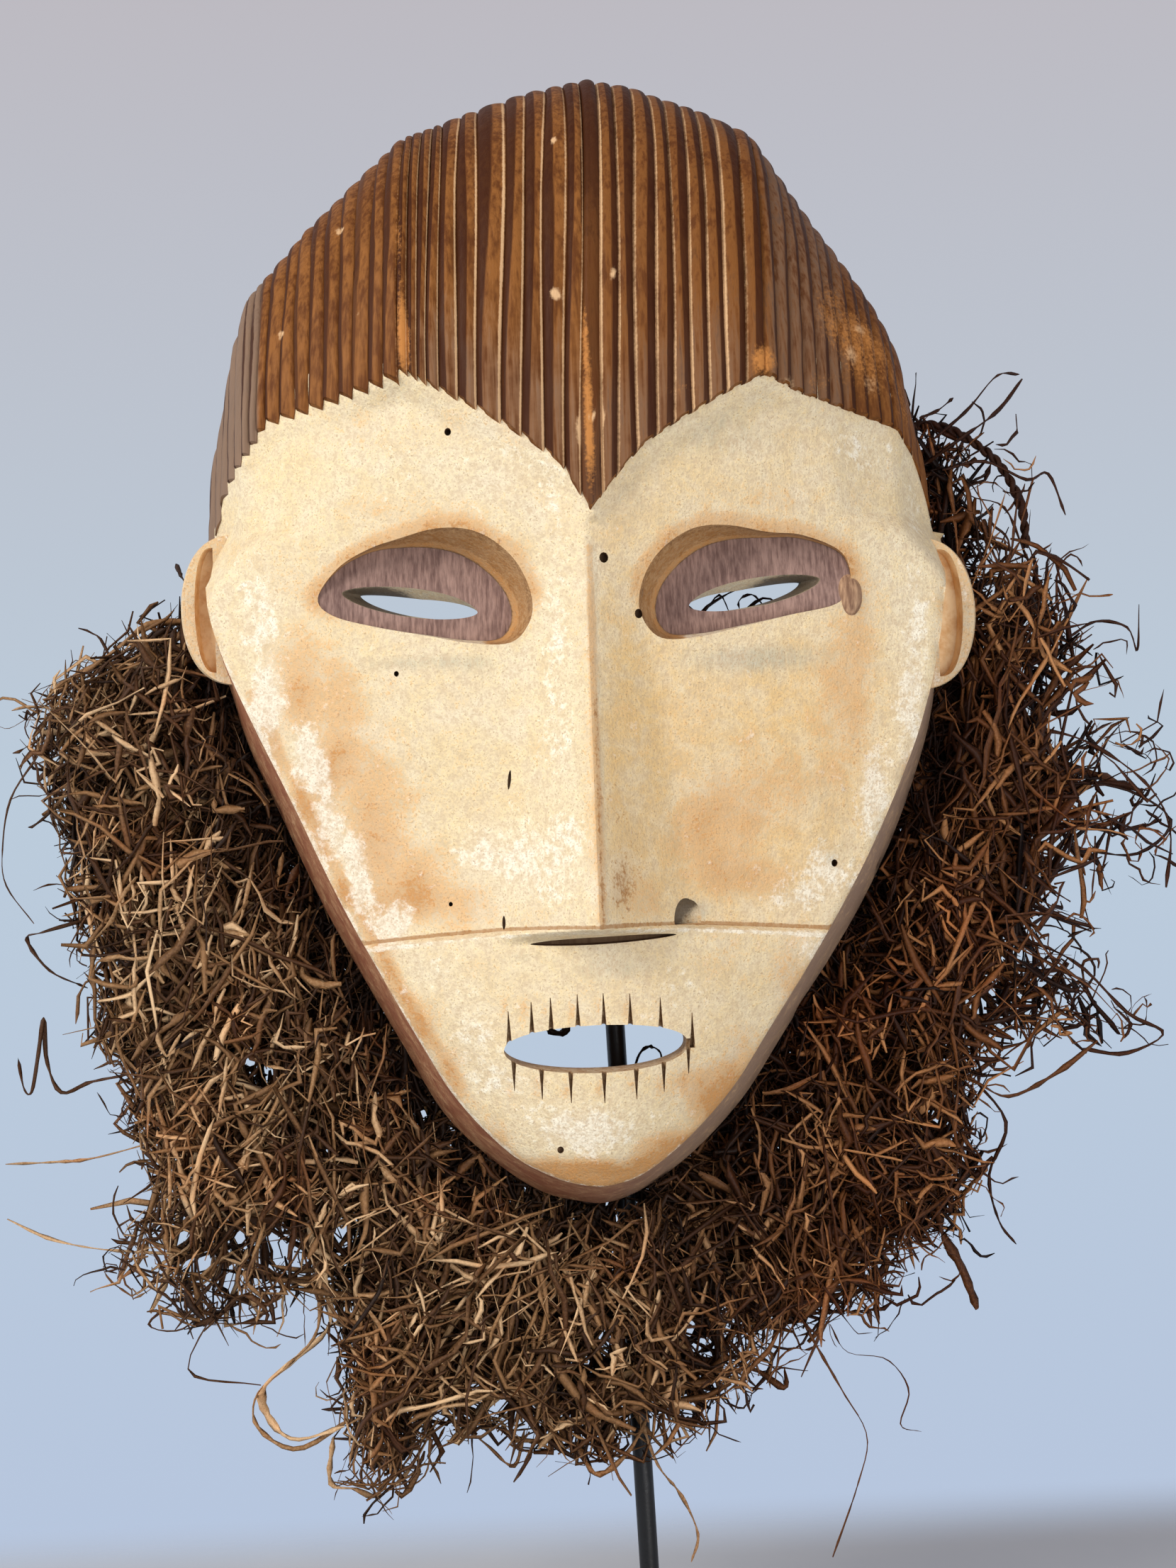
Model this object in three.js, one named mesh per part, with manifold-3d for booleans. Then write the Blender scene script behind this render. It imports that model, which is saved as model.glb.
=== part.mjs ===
import * as THREE from "three";
import { mergeVertices } from "three/addons/utils/BufferGeometryUtils.js";
import Module from "manifold-3d";

// A carved wooden Lega mask with a fibre beard, hung on a steel display stand.
// Millimetres, +Z up, the face looks along -Y, the origin is the middle of the foot's underside.

// Where the mask stands: its centre plane, the flat back of its rim and its chin
const MASK_X = -7;
const RIM_Y = 25;
const CHIN_Z = 146;

// Hair: fluted from side to side, its grooves evenly spaced on the side facets and measured between
const SIDE_FACETS = [
  { from: -93, to: -76, ridges: 8 },
  { from: -76, to: -43, ridges: 9 },
  { from: 44.5, to: 79.5, ridges: 10 },
  { from: 79.5, to: 92, ridges: 4 },
];
const CROWN_GROOVES = [
  -40.5, -38.2, -36, -33.2, -28.8, -24.2, -18.6, -14, -9, -4.2, -0.5,
  4.5, 8.3, 12.8, 17.8, 22, 26.6, 30.8, 35, 39.5,
];
const FLUTE_DEPTH = 1.5;
const HAIR_STEP = 3.2;
const HAIR_LEAN = [[-94, 1], [-43, 3], [2, 4.8], [44, 2.7], [80, -0.5], [94, -0.8]];
const HAIRLINE = [
  [-94.5, 166], [-90.4, 169], [-88, 178.5], [-84.4, 184.2], [-80, 189.5], [-76, 195],
  [-66, 197], [-54, 199.8], [-42, 203.2], [-34, 198.8], [-24, 193.2], [-14.4, 187], [-5.3, 180],
  [1.6, 168.5], [9.4, 178.2], [14, 183.4], [23.3, 189.4], [35, 196], [44.5, 200.2], [54.4, 196],
  [69.3, 192.4], [80, 189.6], [86, 183], [94.5, 164],
];
// Height of the outline above each place, and the depth of the hair in front of the rim there
const DOME_TOP = [
  [-94.6, 168.5], [-92, 185.5], [-89, 199.5], [-85, 218], [-81.2, 230], [-65.4, 247], [-41, 268.8],
  [-18.8, 277], [-6.7, 280.4], [6.4, 283], [17.3, 281], [37, 273.6], [47, 268.5], [62.6, 246.3],
  [72, 234], [78, 225], [84, 214], [86.4, 203], [91.3, 183.5], [94.4, 166],
];
const DOME_DEPTH = [
  [-94.6, 6], [-90, 16], [-81.5, 32], [-43, 57], [2, 62.5], [44.5, 57], [80, 32], [89, 17], [94.4, 6],
];
const DOME_START = [[-94, 148], [-81, 172], [-43, 192], [2, 190], [44, 192], [80, 172], [94, 148]];
const DOME_ROUND = 2.3;

// Face: half widths of its front edge up the mask, then depths in front of the rim
const FACE_LEFT = [
  [-8, 8], [4, 14], [9, 20], [14, 25.5], [22, 33], [34.5, 42], [48, 51], [68, 60], [86, 68.5],
  [106, 77], [124, 84.5], [140, 89], [165, 90.5], [180, 86], [195, 80], [206, 72],
];
const FACE_RIGHT = [
  [-8, 9], [4, 15], [8, 20], [18, 29], [29, 38.5], [41, 47], [54.5, 55], [66.5, 62], [88, 74],
  [102, 81], [124, 88], [140, 90], [165, 90.5], [180, 86], [195, 80], [206, 72],
];
const LEDGE_DROP = 4.2;
const FACE_CENTRE = [
  [-8, 30], [4, 34], [14, 41], [28, 45.5], [45, 48.5], [66, 50], [90, 50], [120, 52], [150, 55],
  [170, 58], [206, 60],
];
const FACE_EDGE = [[-8, 28], [4, 29], [40, 30], [69.2, 32.2], [70.3, 31], [110, 31], [150, 30], [206, 30]];
const FACE_CURVE = [[-8, 1.8], [40, 1.7], [69.2, 1.45], [70.3, 1.1], [120, 1.15], [165, 1.35], [206, 2.1]];
const NOSE_HEIGHT = [
  [-8, 0], [66.4, 0], [70.3, 17], [90, 14.5], [120, 10], [150, 5], [168, 1.6], [176, 0], [206, 0],
];
const NOSE_HALF = [[-8, 24], [70.3, 24], [90, 21], [120, 17.5], [150, 13], [206, 9]];
// Columns of the face: 0 to 1 across half the nose, 1 to 2 from there to the face's edge
const FACE_COLUMNS = [0, 0.16, 0.4, 0.7, 1, 1.22, 1.44, 1.64, 1.8, 1.92, 2, 2.14];
const FACE_ROWS = [
  206, 190, 177, 166, 156, 146, 135, 123, 110, 97, 84, 74,
  70.3, 69.2, 66.4, 57, 47, 37, 27, 18, 11, 5, -8,
];

// Outline of the back rim, and of the front edge of the side wall, right ear to right ear over the top
const RIM = [
  [96, 172], [99, 200], [90, 236], [58, 270], [10, 292], [-45, 280], [-86, 244], [-100, 200],
  [-97, 172], [-94, 158], [-93, 148], [-91, 138], [-88.5, 130], [-84.5, 116], [-76.4, 97],
  [-67.4, 76], [-58.3, 58], [-47.3, 37.6], [-38, 20.8], [-26, 8.4], [-14.3, 0], [-4, -3.2],
  [4, -3.8], [14, 0], [26, 8.4], [39, 21.5], [49.5, 36.8], [61, 54], [71.4, 70.4], [80.4, 87.8],
  [88, 107.3], [91.6, 120], [93, 130], [93.6, 140], [93.8, 152], [94.4, 162],
];
const FRONT = [
  [96, 172], [99, 200], [90, 236], [58, 270], [10, 292], [-45, 280], [-86, 244], [-100, 200],
  [-97, 172], [-92.5, 158], [-91, 148], [-88.5, 139], [-85.5, 131], [-80.3, 119], [-71.6, 100],
  [-62.6, 79.5], [-53.6, 61.5], [-42.8, 41.5], [-34, 27], [-22, 14], [-11.3, 7.6], [-3, 5.2],
  [3, 5.2], [11, 7.8], [21.8, 15.8], [33.5, 28], [43.4, 42.6], [54.6, 59.5], [64.6, 76],
  [73, 92], [80.6, 109], [84.8, 121], [87.5, 131], [89.4, 141], [91, 152], [92.8, 162],
];
const WALL_DEPTH = 30;
// The blocks that the wall trims run back past the rim to this depth, and cuts through the face
// start and end at these
const BLOCK_BACK = -12;
const HOLLOW_BACK = -10;
const CUT_BACK = 10;
const CUT_FRONT = 70;

// Hollow: the outline's half width up the mask, drawn in by a factor each way round the middle
const RIM_HALF = [
  [-3.5, 4], [0, 14], [8.4, 26], [21, 38.5], [37, 48], [56, 59.5], [73, 69], [92, 79], [107, 85.5],
  [120, 90], [130, 91.5], [150, 93], [168, 93.5], [185, 91], [200, 88], [215, 85], [230, 80],
  [247, 64], [260, 51], [268.6, 43], [277, 24], [283, 6],
];
const HOLLOW = { across: 0.918, up: 0.945, deep: 0.77, middle: 120 };
const HOLLOW_ROWS = [
  274, 268, 260, 250, 238, 224, 210, 195, 180, 165, 150, 135, 120, 103, 86, 70, 54, 40, 27, 17, 9, 4,
];
const HOLLOW_COLUMNS = [-1, -0.86, -0.68, -0.5, -0.3, -0.12, 0.12, 0.3, 0.5, 0.68, 0.86, 1];

// Eyes: the flat almond in each socket, the reach of the socket's wall round it, and the slit
const EYE_ALMOND = [
  [64, 151], [59, 157.6], [52, 161.4], [45, 162.6], [36, 162.3], [28.5, 160], [22, 155],
  [18.3, 149.5], [17.6, 144], [20.6, 139.8], [28, 139.6], [38, 141.2], [50, 143.5], [60.5, 146.6],
];
const EYE_REACH = [
  [0.4, 0], [0.4, 1], [0, 4], [0, 7.5], [-2, 10], [-5.5, 10.5], [-9.5, 8], [-12, 3],
  [-12, -1.5], [-9, -5.5], [-2, -5], [0, -3], [0.2, -2], [0.3, -1],
];
const EYE_FLOOR = { depth: 39.5, perU: -0.06, perV: -0.15, u: 41, v: 151 };
const SOCKET_HEIGHT = 28;
const SLIT = { u0: 59.5, v0: 152.2, u1: 25.6, v1: 146.2, height: 7.2, front: 60, rise: 3 };

// Mouth, its tooth cuts, the slot under the nose and the nostril's hollow
const MOUTH = { u: -0.6, v: 40.6, halfWidth: 22.2, halfHeight: 5.9 };
const TEETH_ABOVE = [-21.5, -16, -11.4, -5, 1.2, 7.6, 15, 22.8];
const TEETH_BELOW = [-20.5, -13.9, -7, 1, 8.8, 15.6, 21.8];
const TOOTH = { width: 1.3, length: 7.5, depth: 4 };
const NOSE_SLOT = { u0: -16.5, u1: 18.5, v0: 65.6, v1: 66.8, height: 1.7, depth0: 42, depth1: 56 };
const NOSTRIL = { u: 22.6, v: 70.6, floor: 69.6, radius: 4.8 };

// Ears: thin crescents standing off the side, each with a channel behind its outer edge
const EARS = [
  { side: -1, top: 169, bottom: 131.5, reach: 99.2, root: 84 },
  { side: 1, top: 163.5, bottom: 125, reach: 100.6, root: 84 },
];
const EAR = { back: 6, front: 19, channel: 5, channelRoot: 91, lip: 2.6 };

// Beard: from its root behind the rim to its outer edge, left ear to right ear under the chin
const BEARD = [
  [-90, 150, -103, 155], [-90, 140, -128, 144], [-86.5, 128, -139, 126], [-81, 111, -136, 104],
  [-74, 96, -132, 82], [-66, 78, -128, 60], [-58, 62, -124, 38], [-50, 47, -117, 14],
  [-42, 33, -116, -8], [-33, 20, -96, -30], [-24, 10, -66, -34], [-15, 4, -62, -62],
  [-6, 0.5, -36, -68], [1, -0.5, -10, -66], [8, 0.5, 16, -68], [17, 5.5, 38, -58], [26, 12, 62, -42],
  [36, 22.5, 82, -30], [46, 36, 96, -6], [56, 51, 103, 16], [66, 66, 120, 34], [74.5, 81, 132, 54],
  [82, 97, 138, 74], [87.5, 112, 146, 94], [90.5, 128, 142, 114], [91, 146, 130, 136],
  [91.5, 163, 118, 158], [90, 180, 108, 178], [87, 193, 97, 195],
];
const BEARD_BACK = -15;
const BEARD_FRONT = 13;
// Locks side by side along it: the reach and the depth of the grooves between them against their
// crests, how unevenly they sit and end, and how far they bend
const LOCKS = 44;
const LOCK = {
  groove: 0.86, valley: 0.6, valleyVaries: 0.3, uneven: 0.4, ragged: 0.06,
  sway: 4.8, swayTurn: 2.6, lift: 6, lump: 2.6, droop: 5,
};
// Where along its reach the beard is thickest, and how far each way it swells from there
const SWELL = { at: 0.36, reach: 0.68 };
const LOCK_ROWS = [0, 0.28, 0.52, 0.77, 1];

// Cord that the beard is knotted on, behind the rim, with the loop that stands out on the right
const CORD_RADIUS = 1.5;
const CORD_DEPTH = -2.3;
const CORD_STEPS = 36;
const CORD_PATH = [
  [-89, 147], [-87, 132], [-80.5, 115], [-72.5, 96], [-63.5, 76], [-54, 58], [-43.5, 38.5], [-34, 23],
  [-23, 11.5], [-12, 4], [0, 1], [12, 4], [24, 12.5], [36, 25], [46, 39.5], [57.5, 56.5], [67, 72],
  [76, 89], [83.5, 108], [88, 126], [89, 145], [89, 163], [87.5, 180],
];
const CORD_LOOP = [
  [86.5, 191, -3], [94, 195, -5], [104, 191, -4], [112.5, 183, -2], [117.5, 172, -2], [118.5, 162, -3],
];

// Stand: a round rod that leans a little, hooked forward under the forehead, on a flat steel foot
const ROD_RADIUS = 2.5;
const ROD_BASE = { u: 12.8, z: 1 };
const ROD_TOP = { u: 0.9, v: 249.2 };
const ROD_DEPTH = -7;
const ROD_BEND = 9.6;
const HOOK_TIP_DEPTH = 24;
const FOOT = { width: 150, length: 130, thickness: 10, corner: 6, bevel: 1.2 };
const GAP = 0.35;

const wasm = await Module();
wasm.setup();

// Value at x of a table of [x, value] rows, straight between them
function table(rows, x) {
  if (x <= rows[0][0]) return rows[0][1];
  for (let i = 1; i < rows.length; i++) {
    const [x0, y0] = rows[i - 1];
    const [x1, y1] = rows[i];
    if (x <= x1) return y0 + ((y1 - y0) * (x - x0)) / (x1 - x0);
  }
  return rows[rows.length - 1][1];
}

// From the mask's own measures (across, up from the chin, forward of the rim) to the part's frame
function place(u, v, d) {
  return new THREE.Vector3(MASK_X + u, RIM_Y - d, CHIN_Z + v);
}

// A repeatable value from -1 to 1 for each whole number
function scatter(n) {
  const s = Math.sin(n * 127.1 + 311.7) * 43758.5453;
  return 2 * (s - Math.floor(s)) - 1;
}

// Moves every vertex of a closed three.js geometry and returns it as a solid
function warped(geometry, move) {
  geometry.deleteAttribute("normal");
  geometry.deleteAttribute("uv");
  const merged = mergeVertices(geometry, 1e-4);
  const at = merged.attributes.position;
  for (let i = 0; i < at.count; i++) {
    const p = move(new THREE.Vector3().fromBufferAttribute(at, i));
    at.setXYZ(i, p.x, p.y, p.z);
  }
  return solid(merged);
}

// A closed indexed geometry as a solid whose faces point out
function solid(geometry) {
  const triVerts = new Uint32Array(geometry.index.array);
  const vertProperties = new Float32Array(geometry.attributes.position.array);
  const make = () => new wasm.Manifold(new wasm.Mesh({ numProp: 3, vertProperties, triVerts }));
  const made = make();
  if (made.volume() > 0) return made;
  for (let i = 0; i < triVerts.length; i += 3) {
    [triVerts[i + 1], triVerts[i + 2]] = [triVerts[i + 2], triVerts[i + 1]];
  }
  return make();
}

// A solid through rings of points, each ring an equal list of Vector3
function loft(rings) {
  const around = rings[0].length;
  const steps = rings.length - 1;
  const middle = rings.map((ring) => {
    const sum = ring.reduce((total, p) => total.add(p), new THREE.Vector3());
    return sum.divideScalar(around);
  });
  const geometry = new THREE.CylinderGeometry(1, 1, 1, around, steps);
  return warped(geometry, (p) => {
    const row = Math.round((p.y + 0.5) * steps);
    if (Math.hypot(p.x, p.z) < 0.5) return middle[row];
    const turn = Math.atan2(p.x, p.z) / (2 * Math.PI);
    const column = Math.round((turn + 1) * around) % around;
    return rings[row][column];
  });
}

// A solid block whose front follows the given columns and rows, with its back at one depth
function block(columns, rows, front, back) {
  const nu = columns.length - 1;
  const nv = rows.length - 1;
  return warped(new THREE.BoxGeometry(1, 1, 1, nu, nv, 1), (p) => {
    const a = columns[Math.round((p.x + 0.5) * nu)];
    const b = rows[Math.round((p.y + 0.5) * nv)];
    const [u, v, d] = p.z > 0 ? front(a, b) : back(a, b);
    return place(u, v, d);
  });
}

// A round bar through points, closed at both ends, whose path never turns along the given direction
function bar(points, radius, sides, across) {
  const rings = points.map((p, i) => {
    const before = points[Math.max(0, i - 1)];
    const after = points[Math.min(points.length - 1, i + 1)];
    const along = after.clone().sub(before).normalize();
    const first = across.clone().cross(along).normalize();
    const second = along.clone().cross(first);
    return Array.from({ length: sides }, (_, n) => {
      const turn = (2 * Math.PI * n) / sides;
      const out = first.clone().multiplyScalar(radius * Math.cos(turn));
      return p.clone().add(out).addScaledVector(second, radius * Math.sin(turn));
    });
  });
  return loft(rings);
}

// The biggest of the separate bodies of a solid
function largest(made) {
  return made.decompose().reduce((a, b) => (a.volume() > b.volume() ? a : b));
}

// A named mesh in its own colour
function node(name, made, color, roughness, metalness) {
  const mesh = made.getMesh();
  const geometry = new THREE.BufferGeometry();
  geometry.setAttribute("position", new THREE.BufferAttribute(mesh.vertProperties, 3));
  geometry.setIndex(new THREE.BufferAttribute(mesh.triVerts, 1));
  geometry.computeVertexNormals();
  const material = new THREE.MeshStandardMaterial({ color, roughness, metalness, flatShading: true });
  const shown = new THREE.Mesh(geometry, material);
  shown.name = name;
  return shown;
}

// Depth of the hair's smooth form in front of the rim
function domeDepth(u, v) {
  const start = table(DOME_START, u);
  const rise = Math.min(1, Math.max(0, (v - start) / (table(DOME_TOP, u) - start)));
  return table(DOME_DEPTH, u) * Math.pow(1 - Math.pow(rise, DOME_ROUND), 1 / DOME_ROUND);
}

// How far the nose's lower edge and the ledge beside it drop towards the sides
function bow(u, row) {
  const near = Math.max(0, 1 - Math.abs(row - 68) / 34);
  return -LEDGE_DROP * Math.pow(Math.min(1, Math.abs(u) / 58), 1.6) * near;
}

// Depth of the face, with or without its nose, at a place and a row of the table
function faceDepth(u, row, nose) {
  const half = table(u < 0 ? FACE_LEFT : FACE_RIGHT, row);
  const out = Math.min(1, Math.abs(u) / half);
  const edge = table(FACE_EDGE, row);
  const swell = 1 - Math.pow(out, table(FACE_CURVE, row));
  const tent = Math.max(0, 1 - Math.abs(u) / table(NOSE_HALF, row));
  const depth = edge + (table(FACE_CENTRE, row) - edge) * swell;
  const raised = nose ? table(NOSE_HEIGHT, row) * Math.pow(tent, 1.15) : 0;
  const hair = domeDepth(u, row) - HAIR_STEP + 1.2 * Math.max(0, 168 - row);
  return Math.min(depth + raised, hair);
}

// The face and everything under the hair, back to behind the rim
function faceBlock() {
  const sides = FACE_COLUMNS.slice(1).map((s) => -s).reverse();
  const rows = [...FACE_ROWS].reverse();
  const across = (k, row) => {
    const half = Math.max(22, table(k < 0 ? FACE_LEFT : FACE_RIGHT, row));
    const nose = Math.min(table(NOSE_HALF, row), 0.5 * half);
    const out = row > 165 ? Math.min(2.02, Math.abs(k)) : Math.abs(k);
    return Math.sign(k) * (out <= 1 ? out * nose : nose + (out - 1) * (half - nose));
  };
  const front = (k, row) => {
    const u = across(k, row);
    return [u, row + bow(u, row), faceDepth(u, row, true)];
  };
  const back = (k, row) => [across(k, row), row, BLOCK_BACK];
  return block([...sides, ...FACE_COLUMNS], rows, front, back);
}

// A point on the hair's smooth form: a place along the hairline and how far up from it
function hairPoint(a, t) {
  const low = table(HAIRLINE, a);
  const topAt = a + table(HAIR_LEAN, a);
  const rise = table(DOME_TOP, topAt) - low;
  const v = low + rise * Math.sin((t * Math.PI) / 2);
  const u = a + (topAt - a) * Math.pow((v - low) / rise, 1.4);
  return new THREE.Vector3(u, v, t >= 1 ? 0 : domeDepth(u, v));
}

// The fluted hair, from the scalloped hairline up over the top
function hairBlock() {
  const sides = SIDE_FACETS.flatMap(({ from, to, ridges }) =>
    Array.from({ length: ridges + 1 }, (_, i) => from + ((to - from) * i) / ridges),
  );
  const grooves = [...new Set([...sides, ...CROWN_GROOVES])].sort((a, b) => a - b);
  const columns = [];
  for (let i = 0; i + 1 < grooves.length; i++) {
    const pitch = grooves[i + 1] - grooves[i];
    const shoulders = pitch < 2.9 ? [0.5] : [0.24, 0.78];
    columns.push({ a: grooves[i], cut: Math.min(FLUTE_DEPTH, 0.42 * pitch) });
    for (const k of shoulders) columns.push({ a: grooves[i] + k * pitch, cut: 0 });
  }
  columns.push({ a: grooves.at(-1), cut: 0.8 });
  const rows = [0, 0.27, 0.55, 0.8, 1];
  const front = ({ a, cut }, t) => {
    const p = hairPoint(a, t);
    if (cut === 0) return [p.x, p.y, p.z];
    const along = hairPoint(a, t + 0.02).sub(hairPoint(a, Math.max(0, t - 0.04)));
    const across = hairPoint(a + 0.5, t).sub(hairPoint(a - 0.5, t));
    const inward = along.cross(across).normalize().multiplyScalar(cut);
    const drop = t === 0 ? 1.2 : 0;
    return [p.x + inward.x, p.y + inward.y - drop, p.z + inward.z];
  };
  const back = ({ a }, t) => {
    const p = hairPoint(a, t);
    return [p.x * (t === 0 ? 0.9 : 1), p.y - 28 * (1 - t), BLOCK_BACK];
  };
  return block(columns, rows, front, back);
}

// The hollow behind the face, open at the back
function hollowBlock() {
  const outside = (v) => HOLLOW.middle + (v - HOLLOW.middle) / HOLLOW.up;
  const front = (s, v) => {
    const row = outside(v);
    const rim = table(RIM_HALF, row);
    const face = row > 165 ? rim - 2 : table(s < 0 ? FACE_LEFT : FACE_RIGHT, row);
    const u = s * face;
    const depth = Math.min(faceDepth(u, row, false), Math.max(4, domeDepth(u, row)));
    return [u * HOLLOW.across, v, depth * HOLLOW.deep];
  };
  const back = (s, v) => [s * table(RIM_HALF, outside(v)) * HOLLOW.across, v, HOLLOW_BACK];
  return block(HOLLOW_COLUMNS, [...HOLLOW_ROWS].reverse(), front, back);
}

// The flared outline that the side wall follows, from one depth forward to another
function wall(back, grow) {
  const ring = (k, d) =>
    RIM.map(([u, v], i) => {
      const [fu, fv] = FRONT[i];
      const reach = Math.hypot(u, v - 120);
      const out = 1 + grow / reach;
      return place((u + (fu - u) * k) * out, 120 + (v + (fv - v) * k - 120) * out, d);
    });
  return loft([ring(0, back), ring(0, 0), ring(1, WALL_DEPTH), ring(1.9, 84)]);
}

// Cutter for one eye's socket down to its flat almond
function socket(side) {
  const { depth, perU, perV } = EYE_FLOOR;
  const floor = ([u, v]) => depth + perU * (u - EYE_FLOOR.u) + perV * (v - EYE_FLOOR.v);
  const low = EYE_ALMOND.map((p) => place(side * p[0], p[1], floor(p)));
  const high = EYE_ALMOND.map((p, i) => {
    const [reachU, reachV] = EYE_REACH[i];
    return place(side * (p[0] + reachU), p[1] + reachV, floor(p) + SOCKET_HEIGHT);
  });
  return loft([low, high]);
}

// Cutter through the mask in the shape of a pointed oval
function lens(u, v, halfWidth, halfHeight, tilt, points, back, front, rise) {
  const ring = (d, lift) =>
    Array.from({ length: points }, (_, i) => {
      const turn = (2 * Math.PI * i) / points;
      const x = halfWidth * Math.cos(turn);
      const y = halfHeight * Math.sin(turn) * Math.pow(Math.abs(Math.sin(turn)), 0.25);
      const across = x * Math.cos(tilt) - y * Math.sin(tilt);
      const up = x * Math.sin(tilt) + y * Math.cos(tilt);
      return place(u + across, v + lift + up, d);
    });
  return loft([ring(back, rise), ring(front, 0)]);
}

// Cutter for one eye's slit
function slit(side) {
  const { u0, v0, u1, v1, height, front, rise } = SLIT;
  const tilt = Math.atan2(side * (v0 - v1), u0 - u1);
  const half = Math.hypot(u0 - u1, v0 - v1) / 2;
  return lens((side * (u0 + u1)) / 2, (v0 + v1) / 2, half, height / 2, tilt, 16, CUT_BACK, front, rise);
}

// Cutter for one tooth line: a wedge from the mouth's edge outwards
function tooth(u, way) {
  const { width, length, depth } = TOOTH;
  const across = Math.max(0, 1 - Math.pow((u - MOUTH.u) / MOUTH.halfWidth, 2));
  const edge = MOUTH.v + way * (MOUTH.halfHeight * Math.sqrt(across) - 1.2);
  const surface = (v) => faceDepth(u, v, false);
  return warped(new THREE.BoxGeometry(1, 1, 1), (p) => {
    const far = p.y > 0;
    const v = edge + way * (far ? length + 1.2 : 0);
    const half = (far ? 0.25 : 1) * (width / 2);
    const d = p.z > 0 ? surface(v) + 3 : surface(v) - (far ? 0.2 : depth);
    return place(u + Math.sign(p.x) * half, v, d);
  });
}

// Cutter for the undercut slot below the nose
function noseSlot() {
  const { u0, u1, v0, v1, height, depth0, depth1 } = NOSE_SLOT;
  return warped(new THREE.BoxGeometry(1, 1, 1), (p) => {
    const u = p.x > 0 ? u1 : u0;
    const v = (p.x > 0 ? v1 : v0) + Math.sign(p.y) * (height / 2);
    return place(u, v, p.z > 0 ? depth1 : depth0);
  });
}

// Cutter for the nostril's hollow beside the nose
function nostril() {
  const { u, v, floor, radius } = NOSTRIL;
  const depth = faceDepth(u, v, true) + 1;
  return warped(new THREE.SphereGeometry(radius, 10, 6), (p) => {
    return place(u + p.x, Math.max(floor, v + p.y), depth + p.z);
  });
}

// One ear: a crescent flange, and the cutter of the channel behind its outer edge
function ear({ side, top, bottom, reach, root }) {
  const points = 12;
  const half = (top - bottom) / 2;
  const middle = (top + bottom) / 2;
  const crescent = (inside, out, tall) =>
    Array.from({ length: points }, (_, i) => {
      const turn = -Math.PI / 2 + (Math.PI * i) / (points - 1);
      const reached = Math.pow(Math.max(0, Math.cos(turn)), 0.7);
      return [inside + (out - inside) * reached, middle + tall * Math.sin(turn)];
    });
  const at = (list, shift, d) => list.map(([u, v]) => place(side * (u - shift), v, d));
  const outer = crescent(root, reach, half);
  const inner = crescent(EAR.channelRoot, reach - EAR.lip, half - 3.2);
  const flange = loft([at(outer, 2.2, EAR.back), at(outer, 0, EAR.front - 3), at(outer, 0.8, EAR.front)]);
  const channel = loft([at(inner, 1, EAR.front - EAR.channel), at(inner, 0, EAR.front + 3)]);
  return { flange, channel };
}

// The carved mask: hair and face inside the flared wall, hollowed, pierced and cut
function carveMask() {
  let made = hairBlock().add(faceBlock()).intersect(wall(0, 0));
  const ears = EARS.map(ear);
  for (const { flange } of ears) made = made.add(flange);
  made = made.subtract(hollowBlock());
  for (const { channel } of ears) made = made.subtract(channel);
  for (const side of [-1, 1]) made = made.subtract(socket(side)).subtract(slit(side));
  const { u, v, halfWidth, halfHeight } = MOUTH;
  made = made.subtract(lens(u, v, halfWidth, halfHeight, 0, 24, CUT_BACK, CUT_FRONT, 0));
  for (const at of TEETH_ABOVE) made = made.subtract(tooth(at, 1));
  for (const at of TEETH_BELOW) made = made.subtract(tooth(at, -1));
  return made.subtract(noseSlot()).subtract(nostril());
}

// A row of the beard's table at any place along it
function beardAt(s) {
  const i = Math.min(BEARD.length - 2, Math.floor(s));
  return BEARD[i].map((value, k) => value + (BEARD[i + 1][k] - value) * (s - i));
}

// The beard's fan of locks: each a ridge on the front and the back that runs out to a ragged tip
function beardFan() {
  const columns = Array.from({ length: 2 * LOCKS + 1 }, (_, i) => i);
  const surface = (front) => (i, t) => {
    const crest = i % 2 === 1;
    const at = i + LOCK.uneven * scatter(i + 70);
    const s = Math.min(1, Math.max(0, at / (2 * LOCKS))) * (BEARD.length - 1.001);
    const [u0, v0, u1, v1] = beardAt(s);
    const out = new THREE.Vector2(u1 - u0, v1 - v0);
    const over = new THREE.Vector2(-out.y, out.x).normalize();
    const reach = t * ((crest ? 1 : LOCK.groove) + LOCK.ragged * scatter(i + 900));
    const sway = LOCK.sway * scatter(Math.floor(i / 3) + 300) * Math.sin(LOCK.swayTurn * t);
    const swell = Math.sqrt(Math.max(0, 1 - Math.pow((t - SWELL.at) / SWELL.reach, 2)));
    const valley = LOCK.valley + LOCK.valleyVaries * scatter(i + 40);
    const thick = swell * (crest ? 1 : valley) * (front ? BEARD_FRONT : BEARD_BACK);
    const lump = t > 0 && t < 1 ? LOCK.lump * scatter(i * 5 + t * 310 + (front ? 0 : 400)) : 0;
    const lift = LOCK.lift * t * scatter(Math.floor(i / 2) + 600);
    const drop = LOCK.droop * Math.sin(Math.PI * t) * Math.abs(out.x) / out.length();
    return [
      u0 + out.x * reach + over.x * sway,
      v0 + out.y * reach + over.y * sway + drop,
      -1 + thick + lump + lift,
    ];
  };
  return block(columns, LOCK_ROWS, surface(true), surface(false));
}

// The cord behind the rim, as thick as given
function cord(radius, sides) {
  const along = CORD_PATH.map(([u, v]) => place(u, v, CORD_DEPTH));
  const loop = CORD_LOOP.map(([u, v, d]) => place(u, v, d));
  const path = new THREE.CatmullRomCurve3([...along, ...loop]);
  return bar(path.getPoints(CORD_STEPS), radius, sides, new THREE.Vector3(0, 1, 0));
}

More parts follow.
